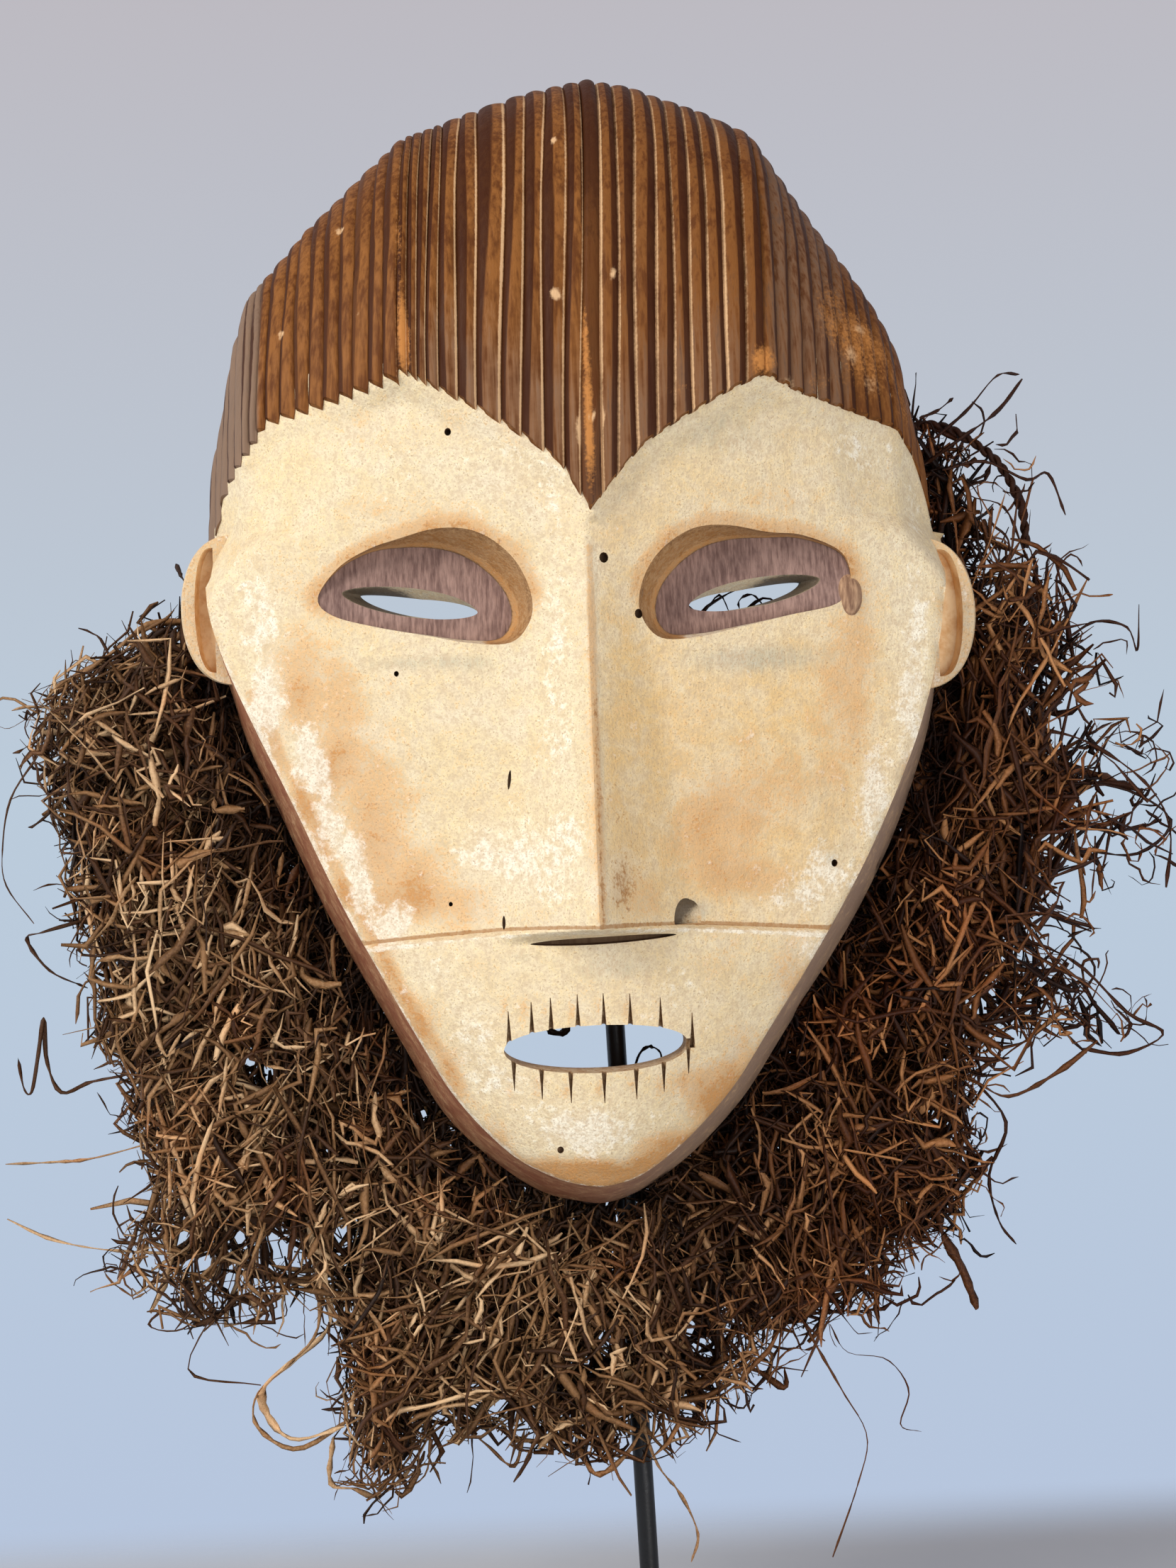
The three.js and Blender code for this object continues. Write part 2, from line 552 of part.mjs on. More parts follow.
// The rod and its hook, as thick as given
function rod(radius, sides) {
  const low = place(ROD_BASE.u, ROD_BASE.z - CHIN_Z, ROD_DEPTH);
  const high = place(ROD_TOP.u, ROD_TOP.v, ROD_DEPTH);
  const points = [low, high];
  for (let i = 1; i <= 6; i++) {
    const turn = (Math.PI / 2) * (i / 6);
    const v = ROD_TOP.v + ROD_BEND * Math.sin(turn);
    points.push(place(ROD_TOP.u, v, ROD_DEPTH + ROD_BEND * (1 - Math.cos(turn))));
  }
  points.push(place(ROD_TOP.u, ROD_TOP.v + ROD_BEND, HOOK_TIP_DEPTH));
  return bar(points, radius, sides, new THREE.Vector3(1, 0, 0));
}

// The beard, kept clear of the mask, the cord and the rod
function makeBeard() {
  let made = beardFan().subtract(wall(-GAP, GAP));
  for (const { top, bottom, reach, ...rest } of EARS) {
    const clear = ear({ ...rest, top: top + 1, bottom: bottom - 1, reach: reach + 1 });
    made = made.subtract(clear.flange);
  }
  made = made.subtract(cord(CORD_RADIUS + GAP, 6)).subtract(rod(ROD_RADIUS + GAP, 14));
  return largest(made);
}

// The foot: a flat plate with eased edges, drilled for the rod
function makeFoot() {
  const { width, length, thickness, corner, bevel } = FOOT;
  const x = width / 2 - bevel;
  const y = length / 2 - bevel;
  const plate = new THREE.Shape();
  plate.moveTo(-x + corner, -y);
  plate.lineTo(x - corner, -y);
  plate.absarc(x - corner, -y + corner, corner, -Math.PI / 2, 0, false);
  plate.lineTo(x, y - corner);
  plate.absarc(x - corner, y - corner, corner, 0, Math.PI / 2, false);
  plate.lineTo(-x + corner, y);
  plate.absarc(-x + corner, y - corner, corner, Math.PI / 2, Math.PI, false);
  plate.lineTo(-x, -y + corner);
  plate.absarc(-x + corner, -y + corner, corner, Math.PI, 1.5 * Math.PI, false);
  const options = {
    depth: thickness - 2 * bevel,
    curveSegments: 3,
    bevelEnabled: true,
    bevelThickness: bevel,
    bevelSize: bevel,
    bevelSegments: 1,
  };
  const made = warped(new THREE.ExtrudeGeometry(plate, options), (p) => p.setZ(p.z + bevel));
  return made.subtract(rod(ROD_RADIUS + GAP, 16));
}

const part = new THREE.Group();
part.add(
  node("mask", carveMask(), 0xe8d9b4, 0.75, 0),
  node("fibre_beard", makeBeard(), 0x5a4029, 0.85, 0),
  node("beard_cord", cord(CORD_RADIUS, 6), 0x2e1d10, 0.85, 0),
  node("stand_rod", rod(ROD_RADIUS, 14), 0x17171a, 0.4, 0.6),
  node("stand_foot", makeFoot(), 0x17171a, 0.45, 0.6),
);

export default part;
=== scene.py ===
import math

import bmesh
import bpy
import numpy as np
from mathutils import Matrix, Vector, noise


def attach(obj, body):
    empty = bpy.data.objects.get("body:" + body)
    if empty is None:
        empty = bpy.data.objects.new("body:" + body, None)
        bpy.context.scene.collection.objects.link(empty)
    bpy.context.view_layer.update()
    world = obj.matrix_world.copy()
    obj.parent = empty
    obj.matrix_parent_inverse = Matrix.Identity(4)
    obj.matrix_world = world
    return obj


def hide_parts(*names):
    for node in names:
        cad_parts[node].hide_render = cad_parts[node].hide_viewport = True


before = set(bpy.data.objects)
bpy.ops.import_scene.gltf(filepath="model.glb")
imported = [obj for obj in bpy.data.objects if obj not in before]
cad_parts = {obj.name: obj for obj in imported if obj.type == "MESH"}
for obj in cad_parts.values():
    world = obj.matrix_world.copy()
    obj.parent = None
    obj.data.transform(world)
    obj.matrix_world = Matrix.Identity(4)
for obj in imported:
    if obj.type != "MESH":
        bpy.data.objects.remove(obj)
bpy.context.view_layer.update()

# The view: level with the middle of the mask and a little to its left, leaning as the photograph does.
# All lengths below are millimetres in the part's frame, made metres when a piece is finished.
MM = 0.001
AIM = Vector((-6.2, 5, 250))
DISTANCE = 650
FOCAL_LENGTH = 59.7
TURN = math.radians(-3)
ROLL = math.radians(1.9)


def placed(name, data):
    """A new object in the scene."""
    made = bpy.data.objects.new(name, data)
    bpy.context.scene.collection.objects.link(made)
    return made


lens = bpy.data.cameras.new("view")
lens.lens = FOCAL_LENGTH
lens.clip_start = 0.01
camera = placed("view", lens)
back = Vector((math.sin(TURN), -math.cos(TURN), 0))
camera.location = (AIM + DISTANCE * back) * MM
camera.rotation_mode = "QUATERNION"
lean = Matrix.Rotation(-ROLL, 3, "Z").to_quaternion()
camera.rotation_quaternion = (-back).to_track_quat("-Z", "Y") @ lean
bpy.context.scene.camera = camera
bpy.context.scene.view_settings.view_transform = "Standard"


# The finishes are node materials. A wire carries a number or a colour through one and takes part in
# sums as a plain number does.
def set_stops(ramp, stops):
    while len(ramp) < len(stops):
        ramp.new(0.5)
    for stop, (at, colour) in zip(ramp, stops):
        stop.position = at
        stop.color = (*colour, 1)


class Wire:
    def __init__(self, finish, socket):
        self.finish = finish
        self.socket = socket

    def sum(self, operation, *values):
        return self.finish.node("Math", {"operation": operation}, dict(enumerate(values)))

    def __add__(self, other):
        return self.sum("ADD", self, other)

    def __sub__(self, other):
        return self.sum("SUBTRACT", self, other)

    def __rsub__(self, other):
        return self.sum("SUBTRACT", other, self)

    def __mul__(self, other):
        return self.sum("MULTIPLY", self, other)

    __radd__ = __add__
    __rmul__ = __mul__


class Finish:
    def __init__(self, name, roughness=0.7):
        self.material = bpy.data.materials.new(name)
        self.material.use_nodes = True
        self.tree = self.material.node_tree
        self.surface = self.tree.nodes["Principled BSDF"]
        self.surface.inputs["Roughness"].default_value = roughness
        self.place = self.node("TexCoord", {}, {}, "Object")

    def node(self, kind, settings, sockets, out=0):
        made = self.tree.nodes.new("ShaderNode" + kind)
        for name, value in settings.items():
            if name == "stops":
                set_stops(made.color_ramp.elements, value)
            else:
                setattr(made, name, value)
        for name, value in sockets.items():
            self.plug(made.inputs[name], value)
        return Wire(self, made.outputs[out])

    def plug(self, socket, value):
        if isinstance(value, Wire):
            self.tree.links.new(value.socket, socket)
        elif isinstance(value, tuple) and len(value) == 3 and socket.type == "RGBA":
            socket.default_value = (*value, 1)
        else:
            socket.default_value = value

    def set(self, **sockets):
        for name, value in sockets.items():
            self.plug(self.surface.inputs[name.replace("_", " ")], value)

    def grain(self, scale, detail=3, rough=0.55, stretch=(1, 1, 1), warp=0.0):
        place = self.node("VectorMath", {"operation": "MULTIPLY"}, {0: self.place, 1: stretch})
        return self.node("TexNoise", {}, {
            "Vector": place, "Scale": scale, "Detail": detail, "Roughness": rough, "Distortion": warp,
        })

    def mark(self, name):
        return self.node("Attribute", {"attribute_name": name}, {}, "Fac")

    def ease(self, value, low, high):
        sockets = {"Value": value, "From Min": low, "From Max": high}
        return self.node("MapRange", {"interpolation_type": "SMOOTHSTEP"}, sockets)

    def blend(self, amount, one, other, way="MIX"):
        settings = {"data_type": "RGBA", "blend_type": way}
        return self.node("Mix", settings, {0: amount, 6: one, 7: other}, 2)

    def relief(self, height, depth, strength=1.0):
        sockets = {"Height": height, "Distance": depth * MM, "Strength": strength}
        self.set(Normal=self.node("Bump", {}, sockets))


# The mask is carved from one block of light wood and hollowed behind. Its measures are taken across
# from its middle (u), up from its chin (v) and forward of the flat back of its rim (d).
MASK_X, RIM_Y, CHIN_Z = -7, 25, 146
TO_PART = Matrix((
    (MM, 0, 0, MASK_X * MM),
    (0, 0, -MM, RIM_Y * MM),
    (0, MM, 0, CHIN_Z * MM),
    (0, 0, 0, 1),
))
SIDE_FACETS = [(-93, -76, 8), (-76, -43, 9), (44.5, 79.5, 10), (79.5, 92, 4)]
CROWN_GROOVES = [
    -40.5, -38.2, -36, -33.2, -28.8, -24.2, -18.6, -14, -9, -4.2, -0.5, 4.5, 8.3, 12.8, 17.8, 22, 26.6,
    30.8, 35, 39.5,
]
FLUTE_DEPTH = 1.1
HAIR_STEP = 3.2
HAIR_LEAN = [(-94, 1), (-43, 3), (2, 4.8), (44, 2.7), (80, -0.5), (94, -0.8)]
HAIRLINE = [
    (-94.5, 166), (-90.4, 169), (-88, 178.5), (-84.4, 184.2), (-80, 189.5), (-76, 195), (-66, 197),
    (-54, 199.8), (-42, 203.2), (-34, 198.8), (-24, 193.2), (-14.4, 187), (-5.3, 180), (1.6, 168.5),
    (9.4, 178.2), (14, 183.4), (23.3, 189.4), (35, 196), (44.5, 200.2), (54.4, 196), (69.3, 192.4),
    (80, 189.6), (86, 183), (94.5, 164),
]
DOME_TOP = [
    (-94.6, 168.5), (-92, 185.5), (-89, 199.5), (-85, 218), (-81.2, 230), (-65.4, 247), (-41, 268.8),
    (-18.8, 277), (-6.7, 280.4), (6.4, 283), (17.3, 281), (37, 273.6), (47, 268.5), (62.6, 246.3),
    (72, 234), (78, 225), (84, 214), (86.4, 203), (91.3, 183.5), (94.4, 166),
]
DOME_DEPTH = [
    (-94.6, 6), (-90, 16), (-81.5, 32), (-43, 57), (2, 62.5), (44.5, 57), (80, 32), (89, 17), (94.4, 6),
]
DOME_START = [(-94, 148), (-81, 172), (-43, 192), (2, 190), (44, 192), (80, 172), (94, 148)]
DOME_ROUND = 2.3
FACE_TOP = [(165, 90.5), (180, 86), (195, 80), (206, 72)]
FACE_LEFT = [
    (-8, 8), (4, 14), (9, 20), (14, 25.5), (22, 33), (34.5, 42), (48, 51), (68, 60), (86, 68.5),
    (106, 77), (124, 84.5), (140, 89), *FACE_TOP,
]
FACE_RIGHT = [
    (-8, 9), (4, 15), (8, 20), (18, 29), (29, 38.5), (41, 47), (54.5, 55), (66.5, 62), (88, 74),
    (102, 81), (124, 88), (140, 90), *FACE_TOP,
]
HAIR_AT_SIDES = 165
LEDGE_DROP = 4.2
FACE_CENTRE = [
    (-8, 30), (4, 34), (14, 41), (28, 45.5), (45, 48.5), (66, 50), (90, 50), (120, 52), (150, 55),
    (170, 58), (206, 60),
]
FACE_EDGE = [(-8, 28), (4, 29), (40, 30), (69.2, 32.2), (70.3, 31), (110, 31), (150, 30), (206, 30)]
FACE_CURVE = [(-8, 1.8), (40, 1.7), (69.2, 1.45), (70.3, 1.1), (120, 1.15), (165, 1.35), (206, 2.1)]
NOSE_HEIGHT = [
    (-8, 0), (66.4, 0), (70.3, 17), (90, 14.5), (120, 10), (150, 5), (168, 1.6), (176, 0), (206, 0),
]
NOSE_HALF = [(-8, 24), (70.3, 24), (90, 21), (120, 17.5), (150, 13), (206, 9)]
WALL_OVER_HAIR = [
    (96, 172), (99, 200), (90, 236), (58, 270), (10, 292), (-45, 280), (-86, 244), (-100, 200),
    (-97, 172),
]
RIM = [
    (-94, 158), (-93, 148), (-91, 138), (-88.5, 130), (-84.5, 116), (-76.4, 97),
    (-67.4, 76), (-58.3, 58), (-47.3, 37.6), (-38, 20.8), (-26, 8.4), (-14.3, 0), (-4, -3.2),
    (4, -3.8), (14, 0), (26, 8.4), (39, 21.5), (49.5, 36.8), (61, 54), (71.4, 70.4), (80.4, 87.8),
    (88, 107.3), (91.6, 120), (93, 130), (93.6, 140), (93.8, 152), (94.4, 162),
]
FRONT = [
    (-92.5, 158), (-91, 148), (-88.5, 139), (-85.5, 131), (-80.3, 119), (-71.6, 100),
    (-62.6, 79.5), (-53.6, 61.5), (-42.8, 41.5), (-34, 27), (-22, 14), (-11.3, 7.6), (-3, 5.2),
    (3, 5.2), (11, 7.8), (21.8, 15.8), (33.5, 28), (43.4, 42.6), (54.6, 59.5), (64.6, 76),
    (73, 92), (80.6, 109), (84.8, 121), (87.5, 131), (89.4, 141), (91, 152), (92.8, 162),
]
WALL_DEPTH, BLOCK_BACK = 30, -12
OUTLINE_POINTS = 216
RIM_HALF = [
    (-3.5, 4), (0, 14), (8.4, 26), (21, 38.5), (37, 48), (56, 59.5), (73, 69), (92, 79), (107, 85.5),
    (120, 90), (130, 91.5), (150, 93), (168, 93.5), (185, 91), (200, 88), (215, 85), (230, 80),
    (247, 64), (260, 51), (268.6, 43), (277, 24), (283, 6),
]
HOLLOW_ACROSS, HOLLOW_UP, HOLLOW_DEEP, HOLLOW_MIDDLE = 0.918, 0.945, 0.77, 120
EYE_ALMOND = [
    (64, 151), (59, 157.6), (52, 161.4), (45, 162.6), (36, 162.3), (28.5, 160), (22, 155),
    (18.3, 149.5), (17.6, 144), (20.6, 139.8), (28, 139.6), (38, 141.2), (50, 143.5), (60.5, 146.6),
]
EYE_ALMOND_RIGHT = [(65.6, 151), (63.6, 158.2), (54, 162.2), *EYE_ALMOND[3:13], (62, 146)]
EYE_REACH = [
    (0.4, 0), (0.4, 0.6), (0, 1.2), (0, 3.6), (-2, 8.6), (-5.5, 10), (-9.5, 8), (-12, 3),
    (-12, -1.5), (-9, -5.5), (-2, -5), (0, -3), (0.2, -2), (0.3, -1),
]
EYE_REACH_RIGHT = [
    (0.4, 0), (0.4, 0.5), (0, 0.8), (0, 1.8), (-1.6, 6), (-5, 8.5), (-9, 7.5), *EYE_REACH[7:],
]
EYE_POINTS = 84
SOCKET_RISE = 28
EYE_FLOOR = {"depth": 39.5, "per_u": -0.06, "per_v": -0.15, "u": 41, "v": 151}
SLIT = {"u0": 59.5, "v0": 152.2, "u1": 25.6, "v1": 146.2}
MOUTH = {"u": -0.6, "v": 40.6, "half_width": 22.2, "half_height": 5.9}
TEETH_ABOVE = [-21.5, -16, -11.4, -5, 1.2, 7.6, 15, 22.8]
TEETH_BELOW = [-20.5, -13.9, -7, 1, 8.8, 15.6, 21.8]
TOOTH = {"width": 2.1, "length": 7.5, "depth": 3.4, "start": 1.2}
EARS = [(-1, 169, 131.5, 99.2), (1, 163.5, 125, 100.6)]
EAR_ROOT, EAR_BACK, EAR_FRONT, EAR_CHANNEL, CHANNEL_ROOT, EAR_LIP = 84, 6, 19, 5, 91, 3.3
WORMHOLES = [
    (-31.4, 188.3, 0.8), (4.3, 157.2, 1.1), (12.5, 144.1, 1.0), (-45.6, 132, 0.6), (-34.4, 76.1, 0.5),
    (60, 82.6, 0.8), (-9.8, 15.6, 0.8, 2.5),
]
NOSE_SLOT = {"u": 1.8, "v": 66.7, "half_width": 17.6, "half_height": 1.0, "tilt": 0.031}
KNIFE_TICKS = [
    {"u": -19.4, "v": 105.6, "half_width": 2.4, "half_height": 0.4, "tilt": 1.45},
    {"u": -21.8, "v": 71.4, "half_width": 1.7, "half_height": 0.4, "tilt": 1.55},
]
NOSTRIL = {"u": 22.6, "v": 70.6, "radius": 4.8, "floor": 69.6}
CROWN_NICK = {"u": 77.2, "v": 229.2, "half_width": 1.7, "half_height": 2.2}
MASK_SHARP = 38


def table(rows, x):
    return np.interp(x, *np.array(rows, float).T)


def curved(rows, x):
    """Value at x of a table, on a smooth curve that never passes beyond its points."""
    xs, ys = np.array(rows, float).T
    step = np.diff(xs)
    slope = np.diff(ys) / step
    lean = np.zeros(len(xs))
    product = slope[:-1] * slope[1:]
    both = np.where(product > 0, slope[:-1] + slope[1:], 1)
    lean[1:-1] = np.where(product > 0, 2 * product / both, 0)
    lean[0], lean[-1] = slope[0], slope[-1]
    x = np.clip(x, xs[0], xs[-1])
    i = np.clip(np.searchsorted(xs, x, side="right") - 1, 0, len(step) - 1)
    t = (x - xs[i]) / step[i]
    bend = 3 * slope[i] - 2 * lean[i] - lean[i + 1] + t * (lean[i] + lean[i + 1] - 2 * slope[i])
    return ys[i] + step[i] * t * (lean[i] + t * bend)


def ease(x):
    x = np.clip(x, 0, 1)
    return x * x * (3 - 2 * x)


def uneven(points, size, seed=0.0):
    """A gentle unevenness from -1 to 1 at each point, with bumps of about the given size."""
    places = ((p[0] / size + seed, p[1] / size, p[2] / size) for p in points)
    return np.array([noise.noise(Vector(place)) for place in places])


def dome_depth(u, v):
    start = table(DOME_START, u)
    rise = np.clip((v - start) / (table(DOME_TOP, u) - start), 0, 1)
    return table(DOME_DEPTH, u) * (1 - rise ** DOME_ROUND) ** (1 / DOME_ROUND)


def face_half(u, row):
    return np.where(u < 0, curved(FACE_LEFT, row), curved(FACE_RIGHT, row))


def face_depth(u, row, nose=True):
    out = np.minimum(1, np.abs(u) / face_half(u, row))
    edge = curved(FACE_EDGE, row)
    depth = edge + (curved(FACE_CENTRE, row) - edge) * (1 - out ** curved(FACE_CURVE, row))
    tent = np.maximum(0, 1 - np.sqrt(u * u + 0.16) / table(NOSE_HALF, row))
    raised = curved(NOSE_HEIGHT, row) * tent ** 1.15 if nose else 0
    below = table(HAIRLINE, u) - row
    hair = dome_depth(u, row)
    step = 1.5 + (HAIR_STEP - 1.5) * ease(below / 6) - 1.2 * np.maximum(0, 168 - row)
    free = np.minimum(depth + raised, hair - step)
    near = 1 - ease(below / 8)
    return free + (hair - 1.5 - free) * np.where(row > 166, near, 0)


def depth_at(u, v, nose=True):
    """How far forward the face stands at one place."""
    return float(face_depth(np.float64(u), np.float64(v), nose))


def circle(points):
    """Angles once round, evenly spaced."""
    return np.linspace(0, 2 * math.pi, points, endpoint=False)


def tilted(x, y, tilt):
    cos, sin = math.cos(tilt), math.sin(tilt)
    return np.column_stack((x * cos - y * sin, x * sin + y * cos))


def finished(name, mesh, slot, *nodes):
    """Makes a mesh a piece of the part: named and in place of the CAD nodes it stands for. The slot is
    not used.
    """
    mesh.name = name
    piece = placed(name, mesh)
    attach(piece, "root")
    if nodes:
        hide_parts(*nodes)


def grid(columns, rows):
    """A flat grid with a vertex for every column and row, and each vertex's column and row."""
    bm = bmesh.new()
    bmesh.ops.create_grid(bm, x_segments=columns - 1, y_segments=rows - 1, size=1)
    at = np.array([v.co[:2] for v in bm.verts])
    i = np.rint((at[:, 0] + 1) / 2 * (columns - 1)).astype(int)
    j = np.rint((at[:, 1] + 1) / 2 * (rows - 1)).astype(int)
    return bm, i, j


def shaped(bm, points):
    for vertex, point in zip(bm.verts, points):
        vertex.co = point


def as_object(bm, finish, **marks):
    """A closed bmesh as an object in one finish, its faces out. A mark is one value, one for each of the
    first vertices, or a function of the vertices' places."""
    bmesh.ops.recalc_face_normals(bm, faces=bm.faces)
    if bm.calc_volume(signed=True) < 0:
        bmesh.ops.reverse_faces(bm, faces=bm.faces)
    mesh = bpy.data.meshes.new("work")
    bm.to_mesh(mesh)
    bm.free()
    mesh.materials.append(finish.material)
    places = np.array([v.co for v in mesh.vertices])
    corners = np.array([loop.vertex_index for loop in mesh.loops])
    for name in MARKS:
        values = np.zeros(len(mesh.vertices))
        given = marks.get(name, 0.0)
        given = given(places) if callable(given) else given
        values[:np.size(given) if np.ndim(given) else None] = given
        mesh.attributes.new(name, "FLOAT", "CORNER").data.foreach_set("value", values[corners])
    return placed("work", mesh)


def block(bm, points, skirts, finish, **marks):
    """A closed block from a grid: its front follows the points and its edge is drawn back in steps."""
    shaped(bm, points)
    edges = [e for e in bm.edges if e.is_boundary]
    for skirt in skirts:
        made = bmesh.ops.extrude_edge_only(bm, edges=edges)
        for vertex in [g for g in made["geom"] if isinstance(g, bmesh.types.BMVert)]:
            vertex.co = skirt(*vertex.co)
        edges = [g for g in made["geom"] if isinstance(g, bmesh.types.BMEdge) and g.is_boundary]
    bmesh.ops.contextual_create(bm, geom=edges)
    return as_object(bm, finish, **marks)


def loft(rings, finish, **marks):
    """A closed body through rings of points, each an array of (u, v, d)."""
    around = len(rings[0])
    bm, i, j = grid(around + 1, len(rings))
    shaped(bm, [rings[b][a % around] for a, b in zip(i, j)])
    bmesh.ops.remove_doubles(bm, verts=bm.verts, dist=1e-4)
    bmesh.ops.holes_fill(bm, edges=bm.edges)
    return as_object(bm, finish, **marks)


def between(a, b, c, d, t):
    """Part t of the way from b to c, on a smooth curve that passes through all four."""
    square, cube = 2 * a - 5 * b + 4 * c - d, 3 * b - a - 3 * c + d
    return 0.5 * (2 * b + (c - a) * t + square * t ** 2 + cube * t ** 3)


def rounded(points, count):
    """A closed smooth curve through points, as the given number of points."""
    p = np.array(points, float)
    t = np.arange(count) * len(p) / count
    i = t.astype(int)
    t = (t - i)[:, None]
    return between(*(p[(i + k) % len(p)] for k in (-1, 0, 1, 2)), t)


def bent(points, count):
    """A smooth open curve through points, as the given number of points."""
    p = np.array(points, float)
    p = np.vstack((2 * p[0] - p[1], p, 2 * p[-1] - p[-2]))
    t = np.linspace(0, len(p) - 3, count)
    i = np.minimum(t.astype(int), len(p) - 4)
    t = (t - i)[:, None]
    return between(*(p[i + k] for k in range(4)), t)


def level(ring, depth):
    return np.column_stack((ring, np.broadcast_to(depth, len(ring))))


def finished_shape(work):
    """The mesh that an object comes to with its modifiers or its curve's section."""
    done = work.evaluated_get(bpy.context.evaluated_depsgraph_get())
    return bpy.data.meshes.new_from_object(done)


def carve(work, operation, tool):
    """Joins a tool to the work, cuts it out or keeps what they share. Its finish stays on its cut."""
    step = work.modifiers.new("carve", "BOOLEAN")
    step.operation = operation
    step.solver = "MANIFOLD"
    step.material_mode = "TRANSFER"
    step.object = tool
    mesh = finished_shape(work)
    work.modifiers.clear()
    work.data = mesh
    bpy.data.objects.remove(tool)


def smooth_mesh(work, sharp):
    """The mesh of a finished body in the part's frame, smooth but for its sharp edges."""
    mesh = work.data
    bpy.data.objects.remove(work)
    mesh.transform(TO_PART)
    mesh.shade_smooth()
    mesh.set_sharp_from_angle(angle=math.radians(sharp))
    return mesh


# Finishes of the mask: white clay rubbed over the face, bare oiled wood on the hair, stained wood on
# the side wall and the ears' edges, raw wood in the hollow and the eyes.
MARKS = ["pale", "dark", "silver", "ochre", "chalk", "grey", "bare", "tan"]
CREAM = (0.86, 0.78, 0.57)
WARM = (0.77, 0.61, 0.35)
OCHRE = (0.68, 0.40, 0.17)
RUST = (0.50, 0.20, 0.032)
CHALK = (0.90, 0.85, 0.70)
SHADE = (0.43, 0.42, 0.32)
BARE = (0.29, 0.115, 0.018)
PAINTED_SHADE = (0.075, 0.048, 0.026)
HAIR_BROWN = (0.105, 0.033, 0.008)
HAIR_ORANGE = (0.235, 0.088, 0.021)
HAIR_DARK = (0.034, 0.0080, 0.0025)
HAIR_PALE = (0.66, 0.41, 0.21)
HAIR_PAINTED_SHEEN = (0.205, 0.135, 0.090)


def clay_finish():
    clay = Finish("white_clay", 0.72)
    broad = clay.grain(38, 4, 0.6, warp=0.4)
    patch = clay.grain(130, 5, 0.65, warp=0.5)
    mottle = clay.grain(480, 5, 0.7)
    fine = clay.grain(1500, 3, 0.6)
    brushed = clay.grain(900, 4, 0.65, (1, 1, 0.22))
    rough = mottle * 0.5 + fine * 0.5
    colour = clay.blend(clay.ease(patch * 0.4 + rough * 0.6, 0.40, 0.60), CREAM, WARM)
    colour = clay.blend(clay.ease(broad, 0.38, 0.62) * 0.4, colour, (0.97, 0.93, 0.80), "MULTIPLY")
    # Painted shade: warmer and darker on the right half of the face, away from the light; on the eye
    # sockets' walls it deepens their tan
    tan = clay.mark("tan")
    tan = tan * (0.55 + 0.45 * clay.ease(patch, 0.35, 0.6))
    colour = clay.blend(tan, colour, (0.98, 0.82, 0.60), "MULTIPLY")
    # The ochre mark is mostly stain; along the keel, over the eye sockets and beside the tooth cuts it
    # is painted shade
    ochre = clay.mark("ochre") + (patch - 0.5) * 1.1 + (mottle - 0.5) * 1.5 + (fine - 0.5) * 1.3
    colour = clay.blend(clay.ease(ochre, 0.12, 0.70) * 0.84, colour, OCHRE)
    colour = clay.blend(clay.ease(ochre, 0.75, 1.35) * 0.8, colour, RUST)
    # The chalk mark is white clay, and also painted highlight on the edges, the ledge and the eyes'
    # lower walls
    chalk = clay.ease(clay.mark("chalk") + (patch - 0.5) * 1.8 + (mottle - 0.5) * 1.7, 0.25, 0.75)
    colour = clay.blend(chalk * 0.74, colour, CHALK)
    # The grey mark is greenish clay, and painted shade
    grey = clay.ease(clay.mark("grey") + (brushed - 0.5) * 0.9 + (patch - 0.5) * 0.5, 0.15, 0.95)
    colour = clay.blend(grey * 0.7, colour, SHADE)
    # The bare mark is bare wood and dirt, and also painted shade along the keel, above the ledge and
    # right of the keel
    bare = clay.ease(clay.mark("bare") + (mottle - 0.5) * 1.1 + (fine - 0.5) * 0.7, 0.35, 0.75)
    colour = clay.blend(bare * 0.85, colour, BARE)
    pitted = clay.blend(0.56, colour, (0.44, 0.27, 0.12))
    colour = clay.blend(clay.ease(rough, 0.38, 0.60), pitted, colour)
    rubbed = clay.blend(0.26, colour, (0.52, 0.33, 0.17))
    colour = clay.blend(clay.ease(patch * 0.6 + mottle * 0.4, 0.35, 0.62), rubbed, colour)
    fleck = clay.grain(2100, 2, 0.5) * 0.7 + mottle * 0.3
    colour = clay.blend(clay.ease(fleck, 0.56, 0.66) * 0.6, colour, (0.36, 0.22, 0.11))
    # Painted shade: the dark mark darkens the cuts, the eyes' floors where they meet their walls, the
    # bands over the eyes, the slits and the nostril
    dark = clay.ease(clay.mark("dark") + (mottle - 0.5) * 0.8 + (fine - 0.5) * 0.5, 0.25, 0.85)
    colour = clay.blend(dark * 0.9, colour, PAINTED_SHADE)
    clay.set(Base_Color=colour, Roughness=clay.ease(fine, 0.2, 0.9) * 0.2 + 0.62)
    clay.relief(mottle * 0.6 + fine * 0.7 + brushed * 0.5 + patch * 0.5, 0.38)
    return clay


